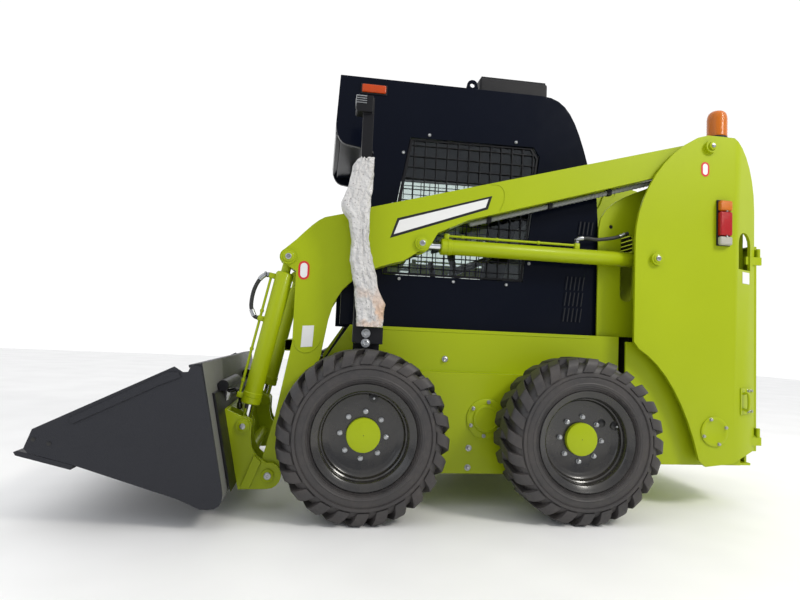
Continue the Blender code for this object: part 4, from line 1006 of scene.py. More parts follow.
# ------------------------------------------------------------------ lift arms
@dataclass
class LiftArm:
    """A box-section arm with its elbow, leg and pins."""

    side: Side
    outer: float = 0.565
    inner: float = 0.455
    pivot: Point = (1.810, 1.925)
    rod_pin: Point = (0.265, 1.305)
    tilt_pin: Point = (-0.385, 1.198)

    def seams(self) -> Object:
        """Weld beads where the elbow's plates and the leg's plates meet.

        Returns:
            The beads as one piece.
        """
        y = self.side.out(self.outer + 0.0002)
        across = [place(x, y, z) for x, z in bezier((0.614, 1.633), (0.700, 1.652), (0.700, 1.560),
                                                    (0.662, 1.500), 10)]
        bow = [place(x, y, z) for x, z in bezier((-0.338, 0.800), (-0.335, 0.728), (-0.245, 0.712),
                                                 (-0.214, 0.800), 12)]
        return fuse("arm_welds_" + self.side.tag, [tube("weld", path, 0.0028, 2) for path in (across, bow)])

    def labels(self) -> list[Object]:
        """Blank decals in the places where the arm carries them.

        Returns:
            The decals.
        """
        out, tag = self.side.value, self.side.tag
        made = []

        def sheet(name: str, outline: Sequence[Point], lift: float, finish: Finish) -> None:
            """One decal, a little proud of the arm."""
            low, high = self.side.between(self.outer + 0.0001, self.outer + lift)
            piece = plate(name + tag, outline, low, high, 0.0003)
            made.append(dress(piece, finish))

        band = [(0.103, 1.322), (0.599, 1.503), (0.620, 1.574), (0.136, 1.424)]
        sheet("arm_band_border_", band, 0.0007, BLACK_DECAL_AND_HOLE_SHADE)
        inside = [(0.121, 1.342), (0.587, 1.512), (0.601, 1.558), (0.146, 1.414)]
        sheet("arm_band_blank_", inside, 0.0012, WHITE)
        oval = arc((-0.309, 1.155), 0.027, 0, 180, 8) + arc((-0.309, 1.117), 0.027, 180, 360, 8)
        sheet("arm_label_red_", oval, 0.0009, RED)
        oval = arc((-0.309, 1.155), 0.017, 0, 180, 8) + arc((-0.309, 1.117), 0.017, 180, 360, 8)
        sheet("arm_label_inner_", oval, 0.0014, WHITE)
        sheet("arm_label_white_", [(-0.305, 0.765), (-0.250, 0.770), (-0.246, 0.872), (-0.301, 0.868)],
              0.0009, WHITE)
        return made

    def pins(self) -> list[Object]:
        """The visible ends of the pins.

        Returns:
            The pieces.
        """
        tag = self.side.tag
        return [pin_head("rod_pin_end_" + tag, self.rod_pin, self.side, self.outer + 0.0120, 0.026, 0.010),
                pin_head("tilt_pin_end_" + tag, self.tilt_pin, self.side, self.outer + 0.0120, 0.026, 0.010),
                pin_head("pivot_pin_end_" + tag, self.pivot, self.side, 0.626, 0.0200, 0.008)]

    def build(self) -> None:
        """Model the arm."""
        tag = self.side.tag
        arm = dress(skin("arm_" + tag, "lift_arm_" + tag, 0.0035), LIME)
        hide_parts("arm_" + tag)
        settle_on("lift_arm", arm, dress(self.seams(), LIME), *self.labels(), *self.pins())
        self.hoses()

    def hoses(self) -> None:
        """The sleeved hose bundle under the arm, its clips and the thin pipes behind the leg."""
        tag, y = self.side.tag, self.side.out(0.510)

        def under(x: float) -> float:
            """Height of the arm's lower edge."""
            return 1.585 + 0.2975 * (x - 0.984)

        route = [place(x, y, under(x) - 0.0175) for x in (0.520, 0.70, 0.90, 1.10, 1.30, 1.50, 1.600)]
        path = smooth_path(route, 0.010)
        core = tube("core", path, 0.0120, 3)
        spiral = []
        for i in range(7 * len(path)):
            at = path[min(i // 7, len(path) - 2)].lerp(path[min(i // 7 + 1, len(path) - 1)], (i % 7) / 7)
            a = i / 7 * 2.6
            spiral.append(at + Vector((0.0, 0.0128 * cos(a), 0.0128 * sin(a))))
        wrap = tube("wrap", spiral, 0.0024, 1)
        bundle = dress(fuse("sleeved_hoses_" + tag, [core, wrap]), SLEEVE)
        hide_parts("arm_hose_" + tag)
        clips = [block("clip", place(x - 0.012, y - 0.019, under(x) - 0.034),
                       place(x + 0.012, y + 0.019, under(x) - 0.0005),
                       0.003) for x in (0.62, 0.95, 1.28)]
        clip = dress(fuse("hose_clips_" + tag, clips), SATIN_BLACK)
        inside = self.side.out(self.inner - 0.009)
        runs = []
        for k in range(2):
            shift = 0.018 * k
            line = [place(-0.215 - shift, inside, 1.05), place(-0.232 - shift, inside, 0.90),
                    place(-0.262 - shift, inside, 0.70),
                    place(-0.300 - shift, inside, 0.56)]
            runs.append(tube("pipe", smooth_path(line, 0.03), 0.0065, 3))
        pipes = dress(fuse("leg_pipes_" + tag, runs), STEEL)
        settle_on("lift_arm", bundle, clip, pipes)


# ------------------------------------------------------------------ cylinders
@dataclass
class Cylinder:
    """A hydraulic cylinder: barrel, gland, ports with pipe and hose, and a chromed rod."""

    kind: str
    side: Side
    base: Point
    tip: Point
    barrel_radius: float
    rod_radius: float
    span: Point
    ports: tuple[float, ...]
    line: float = 0.510
    eye: float = 0.038
    half: float = 0.025

    def axes(self) -> tuple[Vector, Vector, Vector, float]:
        """Start point, direction, the way the ports face, and length between the pins."""
        y = self.side.out(self.line)
        start, end = place(self.base[0], y, self.base[1]), place(self.tip[0], y, self.tip[1])
        along = (end - start).normalized()
        out = Vector((-along.z, 0, along.x))
        return start, along, (-out if out.z - out.x < 0 else out), (end - start).length

    def barrel(self) -> Object:
        """The painted barrel with its welded base eye."""
        start, along, _, _ = self.axes()
        r, (first, last) = self.barrel_radius, self.span
        profile = [(0, first), (r - 0.007, first), (r, first + 0.009), (r, last - 0.056),
                   (r + 0.003, last - 0.053),
                   (r + 0.003, last - 0.034), (r + 0.0012, last - 0.033), (r + 0.0012, last - 0.030),
                   (r + 0.003, last - 0.029),
                   (r + 0.003, last - 0.004), (r - 0.002, last), (self.rod_radius + 0.006, last),
                   (self.rod_radius + 0.001, last - 0.004), (self.rod_radius + 0.001, last - 0.030),
                   (0, last - 0.030)]
        body = turned("barrel", profile, start, along, 48)
        eye = turned("eye", [(0.0206, -self.half), (self.eye - 0.003, -self.half),
                             (self.eye, -self.half + 0.003),
                             (self.eye, self.half - 0.003), (self.eye - 0.003, self.half),
                             (0.0206, self.half)],
                     start, Vector((0, 1, 0)), 40)
        neck = turned("neck", [(0, 0.022), (0.0225, 0.022), (0.0225, first - 0.004), (0.030, first + 0.003),
                               (0, first + 0.003)],
                      start, along, 32)
        return dress(fuse(f"{self.kind}_barrel_skin_{self.side.tag}", [body, eye, neck]), LIME)

    def plumbing(self) -> list[Object]:
        """Port blocks, the pipe between them with its clamps, and unions.

        Returns:
            The pieces.
        """
        start, along, out, _ = self.axes()
        r, tag = self.barrel_radius, self.side.tag
        blocks, unions = [], []
        for port in self.ports:
            seat = start + along * port
            turn = Matrix((along, Vector((0, 1, 0)), out)).transposed().to_4x4()
            rest_selection()
            bpy.ops.mesh.primitive_cube_add(size=1, location=(0, 0, 0))
            cube = named("port")
            cube.scale = (0.026, 0.024, 0.034)
            settle(cube)
            soften(cube, 0.003)
            cube.data.transform(Matrix.Translation(seat + out * (r + 0.012)) @ turn)
            blocks.append(cube)
        pipe_line = [start + along * self.ports[0] + out * (r + 0.018),
                     start + along * self.ports[-1] + out * (r + 0.018)]
        blocks.append(tube("pipe", pipe_line, 0.0065, 4))
        for share in (0.30, 0.62, 0.88):
            at = pipe_line[0].lerp(pipe_line[1], share)
            way = (pipe_line[1] - pipe_line[0]).normalized()
            blocks.append(rod("clamp", at - way * 0.007, at + way * 0.007, 0.0095, 0.001, 16))
        ports = dress(fuse(f"{self.kind}_ports_{tag}", blocks), LIME)
        for step in (0.030, 0.044):
            base = start + along * self.ports[0] + out * (r + step)
            unions.append(prism("nut", [base + (Matrix.Rotation(k * pi / 3, 3,
                                                                out) @ along) * 0.0135 for k in range(6)],
                                out * 0.010, 0.001))
        union = dress(fuse(f"{self.kind}_unions_{tag}", unions), STEEL)
        return [ports, union]

    def hose(self) -> Object:
        """The hose from the first port."""
        start, along, out, _ = self.axes()
        port, rise = self.ports[0], self.barrel_radius + 0.0303
        if self.kind == "lift":
            steps = [(0, rise), (0, rise + 0.012), (-0.014, rise + 0.026), (-0.060, rise + 0.030),
                     (-0.120, rise + 0.028),
                     (-0.220, rise + 0.046), (-0.290, rise + 0.074)]
        else:
            span = self.ports[1] - port
            steps = [(0, rise), (0, rise + 0.010), (0.025, rise + 0.034), (0.090, rise + 0.050),
                     (span - 0.050, rise + 0.044),
                     (span - 0.010, rise + 0.022), (span, rise + 0.010), (span, rise)]
        route = [start + along * (port + a) + out * away for a, away in steps]
        path = smooth_path(route, 0.006)
        line = tube("hose", path, 0.0098, 4)
        ferrules = [tube("ferrule", path[4:11], 0.0122, 4), tube("ferrule", path[-11:-4], 0.0122, 4)]
        line = dress(line, HOSE)
        for ferrule in ferrules:
            dress(ferrule, STEEL)
        return fuse(f"{self.kind}_hose_skin_{self.side.tag}", [line, *ferrules])

    def rod_piece(self) -> Object:
        """The chromed rod with its painted eye."""
        start, along, _, length = self.axes()
        bar = rod("bar", start + along * (self.span[0] + 0.064), start + along * (length - 0.030),
                  self.rod_radius - 0.0002, 0.002, 40)
        tip = start + along * length
        eye = turned("eye", [(0, -self.half), (self.eye - 0.004, -self.half), (self.eye, -self.half + 0.003),
                             (self.eye, self.half - 0.003), (self.eye - 0.004, self.half), (0, self.half)],
                     tip, Vector((0, 1, 0)), 40)
        dress(bar, CHROME)
        dress(eye, LIME)
        return fuse(f"{self.kind}_rod_skin_{self.side.tag}", [bar, eye])

    def build(self) -> None:
        """Model the cylinder."""
        tag = self.side.tag
        barrel, rod_skin, hose = self.barrel(), self.rod_piece(), self.hose()
        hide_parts(f"{self.kind}_barrel_{tag}")
        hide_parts(f"{self.kind}_rod_{tag}")
        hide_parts(f"{self.kind}_hose_{tag}")
        settle_on(f"{self.kind}_barrel_{tag}", barrel, hose, *self.plumbing())
        settle_on(f"{self.kind}_rod_{tag}", rod_skin)


# ------------------------------------------------------------------ bucket
@dataclass
class Bucket:
    """The bucket, its edge, its black mounting frame and the coupler."""

    half: float = 0.870

    def back(self, z: float) -> float:
        """X of the bucket's back face at a height."""
        return -0.578 - 0.2177 * (z - 0.146)

    def strips(self) -> Object:
        """Doubler plates and the bolt-on edge's nose on each side.

        Returns:
            The strips as one piece.
        """
        made = []
        for side in Side:
            low, high = side.between(self.half + 0.0002, self.half + 0.0062)
            band = [(-1.196, 0.452), (-1.180, 0.430), (-0.858, 0.594), (-0.775, 0.630), (-0.786, 0.650),
                    (-0.830, 0.648)]
            made.append(plate("band", band, low, high, 0.0015))
        return fuse("bucket_strips", made)

    def build(self) -> None:
        """Model the bucket and the coupler."""
        shell = dress(skin("bucket_shell", "bucket_shell_skin", 0.0015), BUCKET)
        shell.data.materials.append(BUCKET_BACK.material())
        for face in shell.data.polygons:
            face.material_index = int(face.normal.x > 0.85)
        edge = dress(skin("cutting_edge", "cutting_edge_skin", 0.0015), BUCKET)
        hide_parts("bucket_shell")
        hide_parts("cutting_edge")
        made = [shell, edge, dress(self.strips(), BUCKET)]
        for side in Side:
            cheek = skin("bucket_side_" + side.tag, "bucket_side_skin_" + side.tag, 0.0015)
            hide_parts("bucket_side_" + side.tag)
            made.append(dress(cheek, BUCKET))
        spots = []
        for side in Side:
            for x, z in ((-1.322, 0.366), (-1.262, 0.350)):
                spots.append((place(x, side.out(self.half + 0.0003), z), Vector((0, side.value, 0))))
        # Black discs on the side plates are painted shade of holes that are not cut.
        dots = [turned("dot", [(0, 0), (0.0090, 0), (0.0090, 0.0010), (0.0065, 0.0016), (0, 0.0016)], at, out,
                       16) for at, out in spots]
        made.append(dress(fuse("bucket_side_hole_shade", dots), BLACK_DECAL_AND_HOLE_SHADE))
        under = [place(-1.235, y, 0.2585) for y in (-0.72, -0.43, -0.14, 0.14, 0.43, 0.72)]
        made.append(bolts("edge_bolts", [(p, Vector((0.25, 0, -0.97)).normalized()) for p in under],
                          SATIN_BLACK,
                          HexBolt(0.022, 0.006, 0.014)))
        ribs = []
        for y in (-0.60, -0.20, 0.20, 0.60):
            points = [place(self.back(0.600) - 0.0105, y - 0.005, 0.600),
                      place(self.back(0.250) - 0.0105, y - 0.005, 0.250),
                      place(self.back(0.250) - 0.022, y - 0.005, 0.270),
                      place(self.back(0.600) - 0.026, y - 0.005, 0.585)]
            ribs.append(prism("rib", points, (0, 0.010, 0), 0.001))
        made.append(dress(fuse("bucket_ribs", ribs), BUCKET))
        mount = dress(skin("bucket_mount", "mounting_frame", 0.0020), SATIN_BLACK)
        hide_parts("bucket_mount")
        made.append(mount)
        made += self.coupler()
        settle_on("bucket", *made)

    def coupler(self) -> list[Object]:
        """The coupler with its pins and lock levers.

        Returns:
            The pieces.
        """
        body = dress(skin("coupler", "coupler_skin", 0.0030), LIME)
        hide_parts("coupler")
        made = [body]
        for side in Side:
            made.append(pin_head("coupler_pin_" + side.tag, (-0.549, 0.390), side, 0.6010, 0.0240, 0.009))
            made.append(pin_head("foot_pin_end_" + side.tag, (-0.424, 0.164), side, 0.5935, 0.0300, 0.010))
            y0, y1 = side.between(0.5892, 0.6040)
            gusset = plate("coupler_gusset_" + side.tag, [(-0.544, 0.114), (-0.503, 0.105), (-0.456, 0.228),
                                                          (-0.489, 0.260)], y0, y1, 0.003)
            made.append(dress(gusset, LIME))
            low = place(-0.668, side.out(0.470) - 0.055, 0.492)
            high = place(-0.640, side.out(0.470) + 0.055, 0.560)
            made.append(dress(block("lock_box_" + side.tag, low, high, 0.004), GLOSS_BLACK))
            grip = [place(-0.640, side.out(0.42), 0.532), place(-0.610, side.out(0.42), 0.540),
                    place(-0.590, side.out(0.43), 0.512), place(-0.588, side.out(0.44), 0.470)]
            made.append(dress(tube("lock_lever_" + side.tag, smooth_path(grip, 0.01), 0.009, 3), GLOSS_BLACK))
            made.append(dress(rod("lock_knob_" + side.tag, place(-0.588, side.out(0.44), 0.478),
                                  place(-0.587, side.out(0.44), 0.448),
                                  0.0135, 0.004, 20), GLOSS_BLACK))
        return made


# ------------------------------------------------------------------ machine
@dataclass
class Tower:
    """A rear upright with its lamp, bosses, cover and slots."""

    side: Side
    face: float = 0.600
    corner: float = 1.957
    edge: Point = (2.160, 0.500)

    def on_chamfer(self, share: float, z: float, lift: float) -> Vector:
        """A point on the slanted corner face.

        Args:
            share: how far across, from the flat side to the back.
            z: height.
            lift: distance proud of the face.

        Returns:
            The point.
        """
        x = self.corner + (self.edge[0] - self.corner) * share
        y = self.face + (self.edge[1] - self.face) * share
        out = self.chamfer_out()
        return place(x, self.side.out(y), z) + out * lift

    def chamfer_out(self) -> Vector:
        """The way the slanted corner face points."""
        run, fall = self.edge[0] - self.corner, self.face - self.edge[1]
        return Vector((fall, self.side.value * run, 0)).normalized()

    def fittings(self) -> list[Object]:
        """The cover, labels, bolts and vent slots.

        Returns:
            The pieces.
        """
        tag, out = self.side.tag, Vector((0, self.side.value, 0))
        centre = place(1.846, self.side.out(self.face + 0.0006), 0.412)
        cover = turned("round_cover_" + tag, [(0, 0), (0.0770, 0), (0.0770, 0.0045), (0.0750, 0.0060),
                                              (0.0600, 0.0060),
                                              (0.0560, 0.0040), (0, 0.0040)], centre, out, 48)
        spots = [(centre + Vector((0.067 * cos(a), 0, 0.067 * sin(a))) + out * 0.006, out)
                 for a in (0.35, 0.35 + pi / 2, 0.35 + pi, 0.35 + 3 * pi / 2)]
        made = [dress(cover, LIME), bolts("cover_bolts_" + tag, spots, STEEL, HexBolt(0.013, 0.006, 0.0085))]
        low, high = self.side.between(self.face + 0.0005, self.face + 0.0012)
        oval = arc((1.783, 1.818), 0.024, 0, 180, 8) + arc((1.783, 1.786), 0.024, 180, 360, 8)
        made.append(dress(plate("tower_label_" + tag, oval, low, high), RED))
        low, high = self.side.between(self.face + 0.0008, self.face + 0.0018)
        oval = arc((1.783, 1.818), 0.014, 0, 180, 8) + arc((1.783, 1.786), 0.014, 180, 360, 8)
        made.append(dress(plate("tower_label_blank_" + tag, oval, low, high), WHITE))
        normal = self.chamfer_out()
        pane = prism("slot_label_" + tag, [self.on_chamfer(a, z, 0.0006) for a, z in
                                           ((0.40, 1.205), (0.74, 1.205), (0.74, 1.268), (0.40, 1.268))],
                     normal * 0.0008)
        made.append(dress(pane, WHITE))
        y0, y1 = self.side.between(0.4535, 0.4575)
        made.append(dress(block("slot_back_" + tag, place(1.985, y0, 1.230), place(2.125, y1, 1.545), 0.001,
                                1), LIME))
        leaf = prism("hinge_leaf", [self.on_chamfer(a, z, 0.0006) for a, z in
                                    ((0.30, 0.500), (0.86, 0.500), (0.86, 0.640), (0.30, 0.640))],
                     normal * 0.006, 0.0015)
        grip = tube("grip", smooth_path([self.on_chamfer(0.40, 0.530, 0.004),
                                         self.on_chamfer(0.40, 0.530, 0.032),
                                         self.on_chamfer(0.40, 0.610, 0.032),
                                         self.on_chamfer(0.40, 0.610, 0.004)], 0.008),
                    0.007, 3)
        made.append(dress(fuse("tower_catch_" + tag, [leaf, grip]), LIME))
        spots = [(self.on_chamfer(a, z, 0.0066), normal) for a,
                 z in ((0.62, 0.515), (0.78, 0.515), (0.62, 0.625), (0.78, 0.625))]
        made.append(bolts("catch_bolts_" + tag, spots, STEEL, HexBolt(0.013, 0.006, 0.0080)))
        return made

    def lamp(self) -> Object:
        """The three-colour tail lamp.

        Returns:
            The lamp.
        """
        parts = []
        bands = ((1.392, 1.440, CLEAR_LENS), (1.442, 1.574, RED_LENS), (1.576, 1.6335, AMBER))
        for low, high, finish in bands:
            y0, y1 = self.side.between(self.face + 0.006, self.face + 0.0335)
            parts.append(dress(block("lens", place(1.852, y0, low + 0.003), place(1.924, y1, high), 0.009, 3),
                               finish))
        y0, y1 = self.side.between(self.face + 0.0005, self.face + 0.0100)
        parts.append(dress(block("base", place(1.8482, y0, 1.3922), place(1.9278, y1, 1.6398), 0.004),
                           PLASTIC))
        spots = [(place(1.888, self.side.out(self.face + 0.0330), z),
                  Vector((0, self.side.value, 0))) for z in (1.441, 1.575)]
        parts.append(bolts("lamp_screws", spots, STEEL, HexBolt(0.006, 0.0015, 0.0045)))
        return fuse("tail_lamp_skin_" + self.side.tag, parts)

    def build(self) -> None:
        """Model the upright."""
        tag = self.side.tag
        outer = dress(skin("tower_outer_" + tag, "upright_" + tag, 0.0030), LIME)
        inner = dress(skin("tower_inner_" + tag, "upright_inner_" + tag, 0.0030), LIME)
        lamp = self.lamp()
        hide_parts("tower_outer_" + tag)
        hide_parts("tower_inner_" + tag)
        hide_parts("tail_lamp_" + tag)
        ends = [pin_head("base_pin_end_" + tag, (1.507, 1.300), self.side, 0.6180, 0.0240, 0.008)]
        settle_on("machine", outer, inner, lamp, *self.fittings(), *ends)


@dataclass
class Cab:
    """The cab's shell, windows, guards, roof box and lamps."""

    wall: float = 0.420
    inside: float = 0.392
    window: tuple[Point, ...] = ((0.085, 1.157), (0.848, 1.157), (0.925, 1.850), (0.890, 1.900),
                                 (0.205, 1.893))
    pitch: float = 0.0600
    guard: float = 0.406

    def guard_mesh(self, side: Side) -> Object:
        """The welded lattice that covers a side window.

        Args:
            side: the side of the machine.

        Returns:
            The lattice and its frame.
        """
        centre = (sum(p[0] for p in self.window) / 5, sum(p[1] for p in self.window) / 5)
        grown = [(centre[0] + (x - centre[0]) * 0.992, centre[1] + (z - centre[1]) * 0.992) for x,
                 z in self.window]
        inner = [(centre[0] + (x - centre[0]) * 0.955, centre[1] + (z - centre[1]) * 0.965) for x,
                 z in self.window]
        y0, y1 = side.between(self.guard - 0.0038, self.guard + 0.0038)
        frame_plate = plate("frame", grown, y0, y1)
        opening = plate("opening", inner, y0 - 0.02, y1 + 0.02)
        carve(frame_plate, [opening])
        soften(frame_plate, 0.0012, 1)
        bars = [frame_plate]
        bottom, top = 1.157, 1.900

        def left(z: float) -> float:
            """Front edge of the window at a height."""
            return 0.085 + 0.120 * (z - 1.157) / 0.736

        def right(z: float) -> float:
            """Rear edge of the window at a height."""
            return 0.848 + 0.077 * (z - 1.157) / 0.693 if z < 1.850 else 0.925 - 0.035 * (z - 1.850) / 0.050
        z = bottom + self.pitch * 0.7
        while z < top - 0.02:
            bars.append(block("bar", place(left(z) + 0.006, y0 + 0.0012, z - 0.0026),
                              place(right(z) - 0.006, y1 - 0.0012, z + 0.0026), 0.0009, 1))
            z += self.pitch
        x = 0.085 + self.pitch * 0.45
        while x < 0.925:
            foot = bottom if x < 0.848 else bottom + (x - 0.848) * 0.693 / 0.077
            head = 1.893 if x > 0.205 else 1.157 + (x - 0.085) * 0.736 / 0.120
            if head - foot > 0.04:
                bars.append(block("bar", place(x - 0.0026, y0 + 0.0008, foot + 0.004),
                                  place(x + 0.0026, y1 - 0.0008, head - 0.006), 0.0009, 1))
            x += self.pitch
        return dress(fuse("guard_lattice_" + side.tag, bars), SATIN_BLACK)

    def side_fittings(self, side: Side) -> list[Object]:
        """Screws, glass, marker lamp, lifting eye and louvres.

        Args:
            side: the side of the machine.

        Returns:
            The pieces.
        """
        tag, out = side.tag, Vector((0, side.value, 0))
        spots = []
        edges = list(zip(self.window, self.window[1:] + self.window[:1]))
        for (x0, z0), (x1, z1) in edges:
            run = ((x1 - x0) ** 2 + (z1 - z0) ** 2) ** 0.5
            if run < 0.2:
                continue
            off = Vector((z1 - z0, 0, -(x1 - x0))).normalized() * 0.020
            for share in ((0.12, 0.5, 0.88) if run > 0.7 else (0.15, 0.85)):
                spots.append((place(x0 + (x1 - x0) * share, side.out(self.wall + 0.0004),
                                    z0 + (z1 - z0) * share) + off, out))
        made = [bolts("cab_screws_" + tag, spots, STEEL, HexBolt(0.011, 0.006, 0.0085))]
        y0, y1 = side.between(self.wall + 0.0005, self.wall + 0.0165)
        made.append(dress(block("marker_lamp_" + tag, place(-0.064, y0, 2.110), place(0.064, y1, 2.154),
                                0.010, 3), ORANGE))
        y0, y1 = side.between(self.wall + 0.0004, self.wall + 0.0060)
        made.append(dress(block("marker_base_" + tag, place(-0.070, y0, 2.104), place(0.070, y1, 2.159),
                                0.004), PLASTIC))
        low, high = side.between(0.3960, 0.4000)
        centre = (0.52, 1.55)
        pane = [(centre[0] + (x - centre[0]) * 0.985, centre[1] + (z - centre[1]) * 0.985) for x,
                z in self.window]
        made.append(dress(plate("side_glass_" + tag, pane, low, high, 0.0008), GLASS))
        y0, y1 = side.between(self.wall - 0.034, self.wall - 0.018)
        eye = plate("lifting_eye", [(0.502, 2.1952), (0.574, 2.1952)] + arc((0.538, 2.222), 0.030, 0, 180,
                                                                            10), y0, y1)
        hole = rod("hole", place(0.538, y0 - 0.05, 2.222), place(0.538, y1 + 0.05, 2.222), 0.0130, 0.0005, 24)
        carve(eye, [hole])
        made.append(dress(soften(eye, 0.0025), NAVY))
        made.append(self.louvre_blades(side))
        return made

    def louvre_blades(self, side: Side) -> Object:
        """Pressed blades of the two slotted areas behind the window, with black strips between them as
        painted shade in the openings.

        Args:
            side: the side of the machine.

        Returns:
            The blades.
        """
        blades, slit_shade = [], []
        face = self.wall + 0.0003
        for x0, z0, columns, rows, rise in ((1.150, 1.437, 4, 1, 0.072), (1.070, 0.956, 5, 3, 0.074)):
            for column in range(columns):
                for row in range(rows):
                    x, z = x0 + column * 0.0235 + row * 0.006, z0 + row * (rise + 0.012)
                    # The thin black strips beside the blades are painted shade in the openings.
                    for width, shift, deep, group in ((0.0075, 0.0, 0.0045, blades),
                                                      (0.0060, 0.0078, 0.0006, slit_shade)):
                        corners = [place(x + shift + dx, side.out(face), z + dz) for dx, dz in
                                   ((0, 0), (width, 0), (width + 0.010, rise), (0.010, rise))]
                        group.append(prism("louvre", corners, (0, side.value * deep, 0),
                                           0.0009 if deep > 0.001 else 0))
        return fuse("louvres_" + side.tag, [dress(fuse("blades", blades), NAVY),
                                            dress(fuse("slit_shade", slit_shade), BLACK_DECAL_AND_HOLE_SHADE)])

    def top(self) -> list[Object]:
        """The roof box with its lid, ribs and grille.

        Returns:
            The pieces.
        """
        low, high = place(0.5905, -0.3595, 2.1955), place(0.9845, 0.3595, 2.2945)
        shell = block("box", low, high, 0.014, 3)
        lid = block("lid", place(0.600, -0.350, 2.2920), place(0.976, 0.350, 2.3045), 0.005, 2)
        ribs = [block("rib", place(0.640, y - 0.006, 2.2990), place(0.936, y + 0.006, 2.3048), 0.002, 1)
                for y in (-0.26, -0.13, 0.0, 0.13, 0.26)]
        slats = [block("slat", place(0.5902, -0.30, z), place(0.5935, 0.30, z + 0.006), 0.0012, 1) for z in
                 (2.215, 2.231, 2.247, 2.263)]
        box = dress(fuse("roof_box_skin", [shell, lid, *ribs, *slats]), PLASTIC)
        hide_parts("roof_box")
        return [box]

    def rear_glass(self) -> Object:
        """The pane in the rear window."""
        pane = block("rear_glass", place(1.262, -0.302, 1.118), place(1.266, 0.302, 1.562), 0.0008, 1)
        return dress(pane, GLASS)

    def build(self) -> None:
        """Model the cab's outside."""
        made = []
        for side in Side:
            shell = skin("cab_side_" + side.tag, "cab_wall_" + side.tag, 0.0030)
            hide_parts("cab_side_" + side.tag)
            lattice = self.guard_mesh(side)
            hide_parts("window_guard_" + side.tag)
            made += [dress(shell, NAVY), lattice, *self.side_fittings(side)]
        for node, finish in (("cab_roof", NAVY), ("cab_rear_wall", NAVY), ("cab_floor", SATIN_BLACK)):
            piece = dress(skin(node, node + "_skin", 0.0030), finish)
            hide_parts(node)
            made.append(piece)
        settle_on("machine", *made, *self.top(), self.rear_glass())


